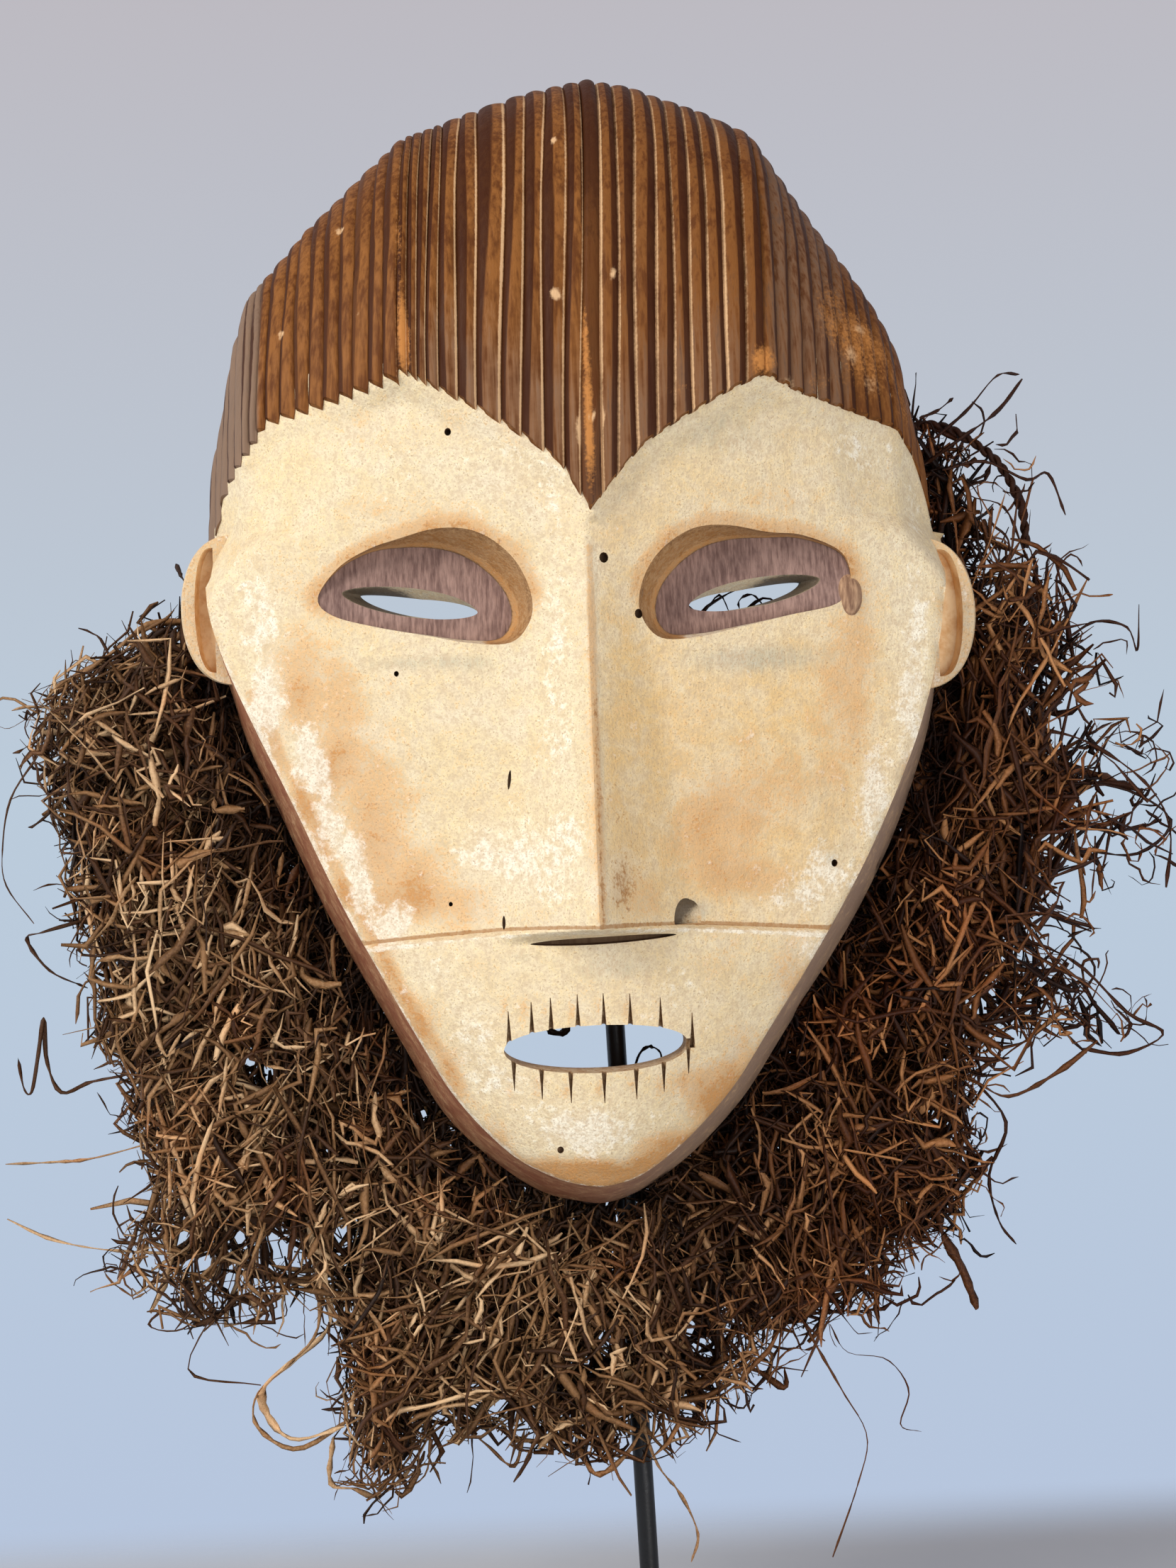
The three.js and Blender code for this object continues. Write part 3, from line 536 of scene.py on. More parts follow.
def hair_finish():
    hair = Finish("oiled_hair_wood", 0.5)
    hair.set(Specular_IOR_Level=0.08)
    streak = hair.grain(900, 4, 0.6, (1, 1, 0.035))
    strand = hair.grain(2600, 2, 0.5, (1, 1, 0.05))
    blotch = hair.grain(80, 4, 0.65)
    fine = hair.grain(1300, 3, 0.6)
    colour = hair.blend(hair.ease(streak * 0.6 + blotch * 0.5, 0.42, 0.66), HAIR_BROWN, HAIR_ORANGE)
    # Painted sheen: grey reflected light on the outer facets and low in the middle
    silver = hair.ease(hair.mark("silver") + (streak - 0.5) * 1.2 + (blotch - 0.5) * 0.6, 0.2, 1.0)
    colour = hair.blend(silver * 0.85, colour, HAIR_PAINTED_SHEEN)
    # The dark mark is stain, with painted shade in the grooves and over the right half
    dark = hair.ease(hair.mark("dark") + (blotch - 0.5) * 0.8 + (streak - 0.5) * 0.8, 0.25, 0.8)
    colour = hair.blend(dark * 0.88, colour, HAIR_DARK)
    ochre = hair.ease(hair.mark("ochre") + (fine - 0.5) * 0.9 + (blotch - 0.5) * 0.8, 0.3, 0.85)
    colour = hair.blend(ochre * 0.85, colour, (0.50, 0.20, 0.05))
    # The pale mark is clay in the grooves and pale chips, with a painted highlight along the grooves
    pale = hair.ease(hair.mark("pale") + (fine - 0.5) * 0.5 + (blotch - 0.5) * 0.6, 0.25, 0.8)
    colour = hair.blend(pale * 0.9, colour, HAIR_PALE)
    hair.set(Base_Color=colour, Roughness=0.58 - hair.ease(streak, 0.3, 0.8) * 0.12)
    hair.relief(streak * 0.6 + strand * 0.4 + fine * 0.2, 0.22)
    return hair


def edge_finish():
    edge = Finish("stained_edge_wood", 0.6)
    patch = edge.grain(150, 5, 0.65, warp=0.5)
    fine = edge.grain(900, 3, 0.6)
    colour = edge.blend(edge.ease(patch, 0.35, 0.65), (0.29, 0.095, 0.042), (0.42, 0.185, 0.085))
    right = edge.ease(edge.node("SeparateXYZ", {}, {0: edge.place}, "X"), -0.02, 0.02)
    colour = edge.blend(right * 0.75, colour, (0.33, 0.235, 0.165))
    worn = edge.ease(fine * 0.6 + patch * 0.5, 0.55, 0.75)
    colour = edge.blend(worn * 0.6, colour, (0.72, 0.45, 0.23))
    edge.set(Base_Color=colour, Roughness=edge.ease(fine, 0.2, 0.8) * 0.2 + 0.5)
    edge.relief(fine + patch, 0.3)
    return edge


def raw_finish(name, tone, light, stretch):
    raw = Finish(name, 0.75)
    streak = raw.grain(1000, 4, 0.6, stretch)
    patch = raw.grain(90, 4, 0.6)
    colour = raw.blend(raw.ease(streak * 0.7 + patch * 0.4, 0.35, 0.75), tone, light)
    raw.set(Base_Color=colour)
    raw.relief(streak + patch * 0.5, 0.3)
    return raw


def ear_finish():
    ear = Finish("ear_channel_clay", 0.7)
    patch = ear.grain(200, 4, 0.6)
    fine = ear.grain(900, 3, 0.6)
    colour = ear.blend(ear.ease(patch + fine * 0.3, 0.4, 0.8), (0.64, 0.35, 0.13), (0.84, 0.61, 0.34))
    ear.set(Base_Color=colour)
    ear.relief(fine, 0.3)
    return ear


CLAY = clay_finish()
HAIR = hair_finish()
EDGE = edge_finish()
INSIDE = raw_finish("raw_hollow_wood", (0.20, 0.105, 0.05), (0.34, 0.20, 0.10), (1, 1, 0.06))
EYE_WOOD = raw_finish("grey_eye_wood", (0.105, 0.050, 0.038), (0.33, 0.20, 0.155), (1.4, 1.4, 0.045))
KNOT_WOOD = raw_finish("brown_knot_wood", (0.13, 0.055, 0.025), (0.52, 0.31, 0.17), (1, 1, 0.12))
CHANNEL = ear_finish()


# The fluted hair: rounded ridges from the scalloped hairline up over the top, each cut by hand, so
# that no groove is quite straight or quite as deep as the next.
RIDGE_STEPS = 11
HAIR_ROWS = 60
LEFT_TEMPLE, LEFT_FACET, RIGHT_FACET = -76, -43, 44.5
CREST_LEFT, CREST_RIGHT = -0.6, 4.6

# Where the stain is worn back to orange wood, and where chips show pale: (across, up, half width,
# half height, strength)
HAIR_STAINS = [
    (1.6, 190, 1.6, 20, 0.95), (1.4, 212, 1.0, 10, 0.5), (-41, 210, 2.2, 12, 0.9),
    (-41.5, 232, 1.6, 22, 0.5), (64, 216, 9, 14, 0.55), (74, 206, 8, 14, 0.6), (44, 203, 4, 5, 0.7),
    (58, 199, 8, 4, 0.35), (24, 196, 10, 3, 0.3), (-60, 238, 14, 14, 0.25), (84, 196, 5, 12, 0.4),
]
HAIR_CHIPS = [
    (-5.2, 219, 1.6, 1.7, 1.2), (8.6, 224, 1.2, 2.2, 0.9), (-3.6, 259, 0.8, 0.9, 1.2),
    (-14, 182, 1.2, 2, 0.8), (3.5, 190, 3, 0.8, 0.9), (-1, 187, 1, 4, 0.7), (68, 207, 3, 4, 0.5),
    (73, 200, 4, 4, 0.45), (71, 214, 3, 2, 0.5), (50, 198, 3, 2, 0.4), (-56, 241, 1.6, 0.8, 1.0),
    (-71, 216, 1, 1, 0.9), (-52, 218, 1, 1, 0.6),
]


def groove_places():
    """Where each groove lies along the hairline."""
    places = set(CROWN_GROOVES)
    for start, end, ridges in SIDE_FACETS:
        places |= {start + (end - start) * i / ridges for i in range(ridges + 1)}
    return np.array(sorted(places))


def hair_form(a, t):
    """Points of the hair's smooth form at places along the hairline and parts of the way up."""
    low = table(HAIRLINE, a)
    top = a + table(HAIR_LEAN, a)
    rise = table(DOME_TOP, top) - low
    v = low + rise * np.sin(t * math.pi / 2)
    u = a + (top - a) * np.clip((v - low) / rise, 0, 1) ** 1.4
    return np.column_stack((u, v, np.where(t >= 1, 0, dome_depth(u, v))))


def stain(points, spots):
    """How strongly spots, as in the tables, mark each point."""
    total = np.zeros(len(points))
    for u, v, wide, tall, strength in spots:
        far = np.hypot((points[:, 0] - u) / wide, (points[:, 1] - v) / tall)
        total += strength * np.clip(1.25 - far, 0, 1)
    return total


def hair_block():
    places = groove_places()
    wide = np.diff(places)
    count = len(wide)
    rng = np.random.default_rng(7)
    sway = rng.uniform(0, 2 * math.pi, (len(places), 3))
    bm, i, j = grid(count * RIDGE_STEPS + 1, HAIR_ROWS + 1)
    t = j / HAIR_ROWS
    ridge = np.minimum(i // RIDGE_STEPS, count - 1)
    k = (i - ridge * RIDGE_STEPS) / RIDGE_STEPS

    def groove_at(n):
        pitch = np.minimum(wide[np.maximum(n - 1, 0)], wide[np.minimum(n, count - 1)])
        drift = np.sin(4 * t + sway[n, 0]) + 0.5 * np.sin(9 * t + sway[n, 1]) - np.sin(sway[n, 0])
        return places[n] + 0.085 * pitch * drift

    a = groove_at(ridge) * (1 - k) + groove_at(ridge + 1) * k
    left = a < 1.4
    inner = np.where(left, k, 1 - k)
    swell = np.abs(np.sin(math.pi * inner ** 0.8)) ** 0.62
    beside = ridge + (k > 0.5)
    depth = np.minimum(FLUTE_DEPTH, 0.42 * wide[ridge]) * (1 + 0.22 * np.sin(7 * t + sway[beside, 2]))
    depth *= 1 - 0.35 * ease((t - 0.7) / 0.3)
    cut = depth * (1 - swell)
    p = hair_form(a, t)
    along = hair_form(a, t + 0.02) - hair_form(a, np.maximum(0, t - 0.04))
    across = hair_form(a + 0.5, t) - hair_form(a - 0.5, t)
    inward = np.cross(along, across)
    inward /= np.linalg.norm(inward, axis=1)[:, None]
    points = p + inward * cut[:, None]
    tooth = np.where(a < LEFT_FACET, 2.6 * k ** 1.5, np.where(left, 1.2 * k ** 2, 0.7 * (1 - swell)))
    points[:, 1] += (0.6 - tooth) * (1 - ease(t / 0.05))
    points += inward * (0.25 * uneven(points, 9) + 0.12 * uneven(points, 3, 4.0))[:, None]
    points[:, 2] = np.maximum(points[:, 2], 0)

    # Stained dark on the outer part of each ridge, with a thin line of clay left along its inner edge,
    # brightened there as a painted highlight
    chance = rng.uniform(0, 1, (2, count))[:, ridge]
    centre = ease((50 - np.abs(a)) / 16)
    reach = np.clip(0.95 - t * (0.75 + 0.5 * chance[0]), 0, 1) ** 0.7
    line = ease((inner - 0.80) / 0.09)
    pale = line * (0.17 + 0.47 * centre + 0.35 * centre * reach) * (0.75 + 0.4 * chance[0])
    facets = (a < LEFT_TEMPLE) | (a > RIGHT_FACET)
    # Fainter on the outer facets, and a weaker painted highlight on the right half, away from the light
    pale *= np.where(facets, 0.5, np.where(a > CREST_RIGHT, 0.72, 1))
    band = 0.53 + 0.11 * np.sin(5 * t + sway[ridge, 1]) - 0.10 * ease((0.4 - t) / 0.3)
    dark = ease((inner - 0.03) / 0.06) * ease((band - inner) / 0.14) * (0.80 + 0.40 * chance[1])
    dark *= np.where(np.abs(a) > -LEFT_FACET, 0.72, 1)
    # Painted shade: the right half, away from the light, is darker throughout
    dark += 0.32 * (a > CREST_RIGHT)
    # Painted shade at the bottom of each groove
    dark += 0.75 * ease((0.07 - np.minimum(k, 1 - k)) / 0.05) * np.where(line > 0.3, 0.2, 1)
    crest = (a > CREST_LEFT) & (a < CREST_RIGHT)
    dark = np.where(crest, 0.55 + 0.3 * ease((t - 0.35) / 0.3), dark)
    low = 0.5 * ease((0.34 - t) / 0.3) * centre
    # Painted sheen: grey reflected light on the outer facets and low in the middle
    silver = 1.1 * ease((LEFT_TEMPLE - a) / 3) + 0.55 * ease((a - 44) / 3) * ease((72 - a) / 8) + low

    def under(u, v, d):
        if d > 4 and v < table(HAIRLINE, u) + 0.5:
            return (u * 0.985, v - 1.9, d - 2.6)
        return (u, v, d - 0.01)

    def behind(u, v, d):
        return (u * 0.97, v - (26 if d > 3 else 0), BLOCK_BACK)

    return block(
        bm, points, [under, behind], HAIR, pale=pale + stain(points, HAIR_CHIPS), dark=dark,
        silver=silver, ochre=stain(points, HAIR_STAINS),
    )


# The face below it: one bright plane either side of a keel that runs down into the nose, a ledge
# under the nose and the muzzle below, gently uneven from the knife.
OCHRE_SPOTS = [
    (-77, 110, 3, 12, 0.7), (-71, 97, 3, 9, 0.6), (-61, 79, 3.5, 5, 0.9), (-66, 89, 3, 7, 0.6),
    (-61, 112, 6, 7, 0.5), (-53, 92, 6, 9, 0.45), (-43, 80, 7, 6, 0.5), (-70, 126, 5, 6, 0.4),
    (-70, 138, 10, 8, 0.45), (-64, 126, 17, 13, 0.60), (-56, 104, 15, 17, 0.62), (-66, 104, 6, 10, 0.4),
    (-46, 84, 15, 11, 0.62), (-40, 75, 18, 5, 0.45), (-30, 76, 8, 9, 0.30), (-52, 72, 6, 10, 0.5),
    (-50, 58, 4, 10, 0.6), (-44, 46, 6, 9, 0.65), (-36, 33, 4, 10, 0.6), (-24, 18, 6, 6, 0.45),
    (-12, 10, 14, 4.4, 1.3), (4, 8, 20, 5.0, 1.7), (19, 14, 12, 5, 1.5), (29, 25, 7, 10, 1.15),
    (35, 36, 5, 9, 0.6), (24, 30, 10, 8, 0.45), (48, 56, 5, 12, 0.5), (36, 60, 12, 6, 0.2),
    (30, 92, 14, 12, 0.68), (36, 80, 14, 6, 0.7), (46, 104, 16, 14, 0.5), (64, 122, 10, 22, 0.6),
    (26, 104, 8, 22, 0.25), (68, 146, 6, 16, 0.35), (-72, 158, 10, 14, 0.22), (-16, 74, 8, 6, 0.25),
    (-1.2, 104, 2.2, 44, 0.30), (10, 78, 7, 9, 0.40), (-20, 190, 16, 6, 0.22), (-54, 190, 12, 6, 0.22),
    (-40, 170, 22, 5, 0.28), (40, 171, 22, 5, 0.34), (80, 100, 3, 14, 0.5),
]
# White clay patches; those along the right cheek's edge are painted highlight
CHALK_SPOTS = [
    (-14, 86, 15, 13, 0.55), (-26, 88, 10, 8, 0.4), (-77, 124, 5, 12, 0.8), (-68, 113, 5, 9, 0.95),
    (-64, 99, 4, 13, 0.8), (-60, 91, 3.6, 7, 0.5), (-56, 84, 4, 13, 0.75), (-49, 71, 6, 8, 0.8),
    (-4, 21, 19, 8, 0.75), (-30, 44, 8, 14, 0.4), (-40, 60, 9, 7, 0.35), (20, 50, 12, 8, 0.32),
    (58, 80, 10, 9, 0.6),
    (70, 98, 5, 14, 0.45), (-20, 180, 34, 12, 0.25), (-78, 146, 7, 22, 0.5), (-7, 130, 5, 44, 0.45),
    (48, 74, 10, 4, 0.45), (-22, 32, 10, 6, 0.42), (83, 138, 4.5, 28, 0.5), (79, 117, 4.5, 24, 0.55),
    (71, 99, 4, 18, 0.45), (52, 62, 8, 5, 0.3), (70, 184, 10, 6, 0.4), (60, 60, 3, 10, 0.4),
    (84, 170, 4, 10, 0.4),
]
# Grey-green patches: painted shade under the eyes, at the nostril, right of the keel and along the
# hairline on the right, and dirt on the right cheek
GREY_SPOTS = [
    (-40, 134.5, 20, 2.6, 0.62), (-26, 132, 10, 4, 0.35), (42, 133, 24, 4.5, 0.85),
    (34, 186, 22, 8, 0.52), (12, 172, 9, 14, 0.42), (62, 178, 14, 8, 0.25), (10, 92, 6, 14, 0.35),
    (58, 96, 12, 14, 0.42), (4, 60, 16, 4.5, 0.62), (-18, 63, 10, 3, 0.4), (62, 84, 8, 6, 0.35),
    (24, 72.6, 5.5, 3.4, 1.0), (20, 38, 8, 6, 0.2), (-70, 150, 6, 5, 0.2),
]
# Brown flecks: dirt on the cheeks, and painted shade right of the keel, away from the light
DIRT_AND_SHADE_SPOTS = [
    (6, 96, 5, 28, 0.34), (5, 78, 4, 9, 0.38), (12, 84, 6, 12, 0.26), (64, 100, 10, 14, 0.32),
    (70, 112, 6, 10, 0.24), (44, 88, 12, 8, 0.26), (-60, 108, 12, 12, 0.14), (-50, 86, 12, 10, 0.18),
    (36, 66, 16, 4, 0.2),
    (-20, 40, 8, 10, 0.12), (34, 48, 8, 10, 0.18), (60, 72, 8, 8, 0.2), (6, 176, 5, 8, 0.2),
]
# Painted shade on the right half of the face, away from the light, made warmer and darker
RIGHT_SHADE_SPOTS = [
    (10, 118, 12, 60, 1.0), (36, 108, 30, 34, 0.9), (60, 116, 20, 34, 0.8), (40, 82, 30, 14, 0.9),
    (30, 48, 26, 18, 0.25), (40, 178, 40, 26, 0.35), (-46, 104, 22, 30, 0.3),
]


def nearest(ring, points):
    """For each point, how far away a closed outline is, and the closest place on it."""
    gap = np.full(len(points), 1e9)
    best = np.zeros((len(points), 2))
    for start, end in zip(ring, np.roll(ring, -1, axis=0)):
        line = end - start
        part = np.clip((points - start) @ line / (line @ line), 0, 1)
        place = start + part[:, None] * line
        away = np.hypot(*(points - place).T)
        closer = away < gap
        gap[closer], best[closer] = away[closer], place[closer]
    return gap, best


def eye_floor(p):
    """How deep the flat floor of an eye lies at each point, counted on the right side."""
    across, up = p[:, 0] - EYE_FLOOR["u"], p[:, 1] - EYE_FLOOR["v"]
    return EYE_FLOOR["depth"] + (EYE_FLOOR["per_u"] * across + EYE_FLOOR["per_v"] * up)


def socket_lines(side):
    """The outline of an eye's flat floor, and how far its wall leans out all round."""
    almond, reach = (EYE_ALMOND, EYE_REACH) if side < 0 else (EYE_ALMOND_RIGHT, EYE_REACH_RIGHT)
    return rounded(almond, EYE_POINTS), rounded(reach, EYE_POINTS)


def socket_rim(side):
    """Where the wall of an eye's socket comes out of the face."""
    low, reach = socket_lines(side)
    rim = low
    for _ in range(4):
        rise = face_depth(rim[:, 0], rim[:, 1]) - eye_floor(low)
        rim = low + reach * (rise / SOCKET_RISE)[:, None]
    return rim * (side, 1)


def face_block():
    nose = np.concatenate((np.linspace(0, 0.2, 6), np.linspace(0.27, 1, 12)))
    cheek = np.concatenate((np.linspace(1.03, 1.9, 36), np.linspace(1.93, 2.05, 8), [2.14]))
    half = np.concatenate((nose, cheek))
    columns = np.concatenate((-half[:0:-1], half))
    rows = np.concatenate((np.arange(-8, 3, 1.3), np.arange(3, 12, 0.6), np.arange(12, 63, 1.25),
                           np.arange(63, 73, 0.35), np.arange(73, 170, 1.4), np.arange(170, 206, 1.0)))
    bm, i, j = grid(len(columns), len(rows))
    k, row = columns[i], rows[j]
    side = np.maximum(22, face_half(k, row))
    middle = np.minimum(table(NOSE_HALF, row), 0.5 * side)
    out = np.abs(k)
    out = np.where(row > HAIR_AT_SIDES, np.minimum(2.0 + 0.1 * (out - 2).clip(0), out), out)
    out += 0.7 * ease((48 - row) / 30) * (out > 2.1)
    u = np.sign(k) * np.where(out <= 1, out * middle, middle + (out - 1) * (side - middle))
    near = np.maximum(0, 1 - np.abs(row - 68) / 34)
    v = row - LEDGE_DROP * np.minimum(1, np.abs(u) / 58) ** 1.6 * near
    points = np.column_stack((u, v, face_depth(u, row)))
    worn = nearest(rounded(WALL_OVER_HAIR + FRONT, OUTLINE_POINTS), points[:, :2])[0]
    points[:, 2] -= 1.1 * np.clip(1 - worn / 1.8, 0, 1) ** 2 * (v < HAIR_AT_SIDES)
    points[:, 2] += 0.22 * uneven(points, 13) + 0.10 * uneven(points, 4, 5.0)
    rim = ease(1 - worn / 3.2) * (v < 168)
    below_rim = ease(1 - np.abs(worn - 3.2) / 2.6) * ease((-20 - u) / 20) * (v < 130)
    wander = 0.22 * uneven(points, 7, 9.0)
    keel = (v > 70) * (v < 160)
    # Painted shade: a soft ochre and dark band along the upper edges of the eye sockets
    brow_shade = np.minimum(*(nearest(socket_rim(way), points[:, :2])[0] for way in (-1, 1)))
    brow_shade = ease(1.1 - brow_shade / 4.2) * ease((v - 143) / 8)
    # Painted shade: orange beside the left side of each tooth cut
    tooth_shade = sum(ease(1 - np.hypot((u - at + 1.2) / 1.6, (v - MOUTH["v"] - way * 9.5) / 5))
               for way, row_of in ((1, TEETH_ABOVE), (-1, TEETH_BELOW)) for at in row_of)
    # Painted highlight along the worn edge on the left and at the chin, facing the light
    edge_highlight = 0.75 * ease(1 - worn / 1.7) * (v < 140) * (u < 20)
    edge_bare = 0.4 * ease(1 - worn / 1.2) * (v < HAIR_AT_SIDES) * ease((v - 10) / 20)
    # Painted shade along the keel: a dark line at its crest and grey on its right flank, away from the
    # light
    keel_shade = 0.55 * ease((0.9 - np.abs(u - 1.1)) / 0.7) * keel * (v < 126)
    return block(
        bm, points, [lambda u, v, d: (u, v, BLOCK_BACK)], CLAY,
        ochre=(stain(points, OCHRE_SPOTS) + 0.25 * rim + wander
               # Painted shade along the keel's crest
               + 0.8 * ease((1.5 - np.abs(u - 0.9)) / 1.1) * keel
               + 0.95 * brow_shade + 0.5 * tooth_shade + 0.7 * below_rim),
        # White at the ledge's top edge is a painted highlight
        chalk=stain(points, CHALK_SPOTS) + edge_highlight + 0.55 * ease((0.9 - np.abs(row - 69.1)) / 0.7),
        # Grey patches, and painted shade on the keel's right flank
        grey=stain(points, GREY_SPOTS) + 0.5 * ease((1.6 - np.abs(u - 1.9)) / 1.2) * keel,
        # Brown: edge wear, dirt, painted shade along the keel, and a dark line of painted shade above
        # the ledge
        bare=(edge_bare + keel_shade + stain(points, DIRT_AND_SHADE_SPOTS)
              + ease((0.7 - np.abs(row - 70.6)) / 0.5)),
        dark=0.30 * brow_shade,
        tan=(stain(points, RIGHT_SHADE_SPOTS) * ease((u - 0.5) / 1.2)).clip(0, 1),
    )


# The tools that shape it: the flared outline of the side wall, the hollow, and the cuts for eyes,
# mouth, teeth and nose, each leaving the finish of the surface that it cuts.
def wall_tool():
    rim, front = (rounded(WALL_OVER_HAIR + low, OUTLINE_POINTS) for low in (RIM, FRONT))
    flare = ((0, 0), (0.25, 6), (0.5, 14), (0.78, 22), (1, WALL_DEPTH), (1.9, 84))
    return loft([level(rim + (front - rim) * k, depth) for k, depth in flare], EDGE)


def hollow_tool():
    rows = np.linspace(4, 274, 90)
    columns = np.sin(np.linspace(-1, 1, 61) * math.pi / 2)
    bm, i, j = grid(len(columns), len(rows))
    s, v = columns[i], rows[j]
    row = HOLLOW_MIDDLE + (v - HOLLOW_MIDDLE) / HOLLOW_UP
    rim = curved(RIM_HALF, row)
    u = s * np.where(row > HAIR_AT_SIDES, rim - 2, face_half(s, row))
    depth = np.minimum(face_depth(u, row, False), np.maximum(4, dome_depth(u, row))) * HOLLOW_DEEP - 0.8
    points = np.column_stack((u * HOLLOW_ACROSS, v, np.minimum(depth, 7 + 1.6 * (v - 4))))
    points[:, 2] += 0.5 * uneven(points, 15) + 0.2 * uneven(points, 6, 3.0)
    return block(bm, points, [lambda u, v, d: (u, v, -10)], INSIDE)


def socket_tool(side):
    low, reach = socket_lines(side)
    parts = (0, 0.03, 0.08, 0.14, 0.2, 0.26, 0.32, 0.38, 0.44, 0.5, 0.6, 0.8, 1)
    rings = [level(low + reach * k, eye_floor(low) + SOCKET_RISE * k) * (side, 1, 1) for k in parts]
    height = lambda p: p[:, 2] - eye_floor(np.abs(p))
    sunk = lambda p: face_depth(np.abs(p[:, 0]), p[:, 1]) - p[:, 2]
    above = lambda p: 1 - ease((np.abs(p[:, 0]) - 22) / 4) * (p[:, 1] < 149)
    # Painted shade on the upper wall just under the face's edge
    lip = lambda p: 0.42 * ease(1.2 - sunk(p) / 5) * ease(height(p) / 3) * above(p)
    made = loft(
        rings, CLAY, tan=1.0,
        ochre=lambda p: 2.0 * above(p),
        # Painted shade where the wall meets the floor; the lower wall is whitened as a painted highlight
        dark=lambda p: 0.75 * ease(1 - height(p) / 1.6) + lip(p),
        chalk=lambda p: 0.9 - 0.9 * above(p),
        bare=lambda p: 0.8 * ease((height(p) - 1) / 4) * above(p),
    )
    made.data.materials.append(EYE_WOOD.material)
    for face in made.data.polygons:
        if len(face.vertices) > 4 and face.center[2] < 50:
            face.material_index = 1
    return made


def lens_tool(cut, points, back, front):
    """A pointed oval cut from one depth to another."""
    turn = circle(points)
    x = cut["half_width"] * np.cos(turn)
    y = cut["half_height"] * np.sin(turn) * np.abs(np.sin(turn)) ** 0.25
    ring = tilted(x, y, cut["tilt"]) + (cut["u"], cut["v"])
    return loft([level(ring, back), level(ring, front)], INSIDE)


def slit_tool(side):
    """One eye's slit: its upper lip slopes down inwards, so that it shows from in front."""
    across, up = SLIT["u0"] - SLIT["u1"], SLIT["v0"] - SLIT["v1"]
    middle = np.array((side * (SLIT["u0"] + SLIT["u1"]) / 2, (SLIT["v0"] + SLIT["v1"]) / 2))
    tilt = math.atan2(side * up, across)
    turn = circle(64)
    half = math.hypot(across, up) / 2

    def ring(above, below, wide, d):
        y = np.where(np.sin(turn) > 0, above, below) * np.sin(turn) * np.abs(np.sin(turn)) ** 0.2
        x = half * wide * np.cos(turn)
        return level(middle + tilted(x, y, tilt) + (-3.2 * side * (1 - wide) / 0.14, 0), d)

    inner, outer = (1.1, 3.3, 0.86), (4.2, 3.4, 1.0)
    rings = [ring(*inner, 10), ring(*inner, 34.2), ring(2.6, 3.4, 0.95, 37.2)]
    rings += [ring(*outer, 40.4), ring(*outer, 60)]
    shadow = lambda p: 1.6 * ease((np.abs(p[:, 0]) - 36) / 14) * ease((40 - p[:, 2]) / 5)
    return loft(rings, CLAY, grey=0.75, chalk=0.25, dark=shadow)


def mouth_tool():
    """The mouth: blunt at both ends, its upper edge flatter than the lower."""
    turn = circle(96)
    x = MOUTH["half_width"] * np.sign(np.cos(turn)) * np.abs(np.cos(turn)) ** 0.92
    y = MOUTH["half_height"] * np.sign(np.sin(turn)) * np.abs(np.sin(turn)) ** 0.86
    y = np.where(y > 0, y * 0.97 - 0.5 * np.clip(-x / 22, 0, 1), y)
    ring = np.column_stack((MOUTH["u"] + x, MOUTH["v"] + y))
    return loft([level(ring, 10), level(ring, 70)], CLAY, bare=0.55, ochre=0.4)


def tooth_tool(u, way):
    across = max(0, 1 - ((u - MOUTH["u"]) / MOUTH["half_width"]) ** 2)
    edge = MOUTH["v"] + way * (MOUTH["half_height"] * math.sqrt(across) - TOOTH["start"])
    bm = bmesh.new()
    bmesh.ops.create_cube(bm, size=2)
    for vertex in bm.verts:
        far = vertex.co.y * way > 0
        v = edge + way * (TOOTH["length"] + TOOTH["start"] if far else 0)
        half = TOOTH["width"] / 2 * (0.25 if far else 1) * (1 if vertex.co.z > 0 else 0.3)
        top = depth_at(u, v, False)
        d = top + 3 if vertex.co.z > 0 else top - (0.2 if far else TOOTH["depth"])
        vertex.co = (u + vertex.co.x * half, v, d)
    # The cut's walls are darkened with painted shade
    return as_object(bm, CLAY, bare=0.7, dark=0.45)


def pit_tool(u, v, radius, depth=5):
    top = depth_at(u, v)
    turn = circle(12)
    ring = np.column_stack((u + radius * np.cos(turn), v + 1.15 * radius * np.sin(turn)))
    return loft([level(ring, top - depth), level(ring, top + 2)], INSIDE)


def nostril_tool():
    bm = bmesh.new()
    bmesh.ops.create_uvsphere(bm, u_segments=28, v_segments=18, radius=NOSTRIL["radius"])
    u, v = NOSTRIL["u"], NOSTRIL["v"]
    depth = depth_at(u, v) + 1
    for vertex in bm.verts:
        x, y, z = vertex.co
        vertex.co = (u + 0.95 * x, max(NOSTRIL["floor"], v + 1.1 * y), depth + 0.75 * z)
    shadow = lambda p: 0.95 * ease((25.5 - p[:, 0] + 0.9 * (p[:, 1] - 70)) / 7)
    return as_object(bm, CLAY, grey=0.35, ochre=0.3, dark=shadow)


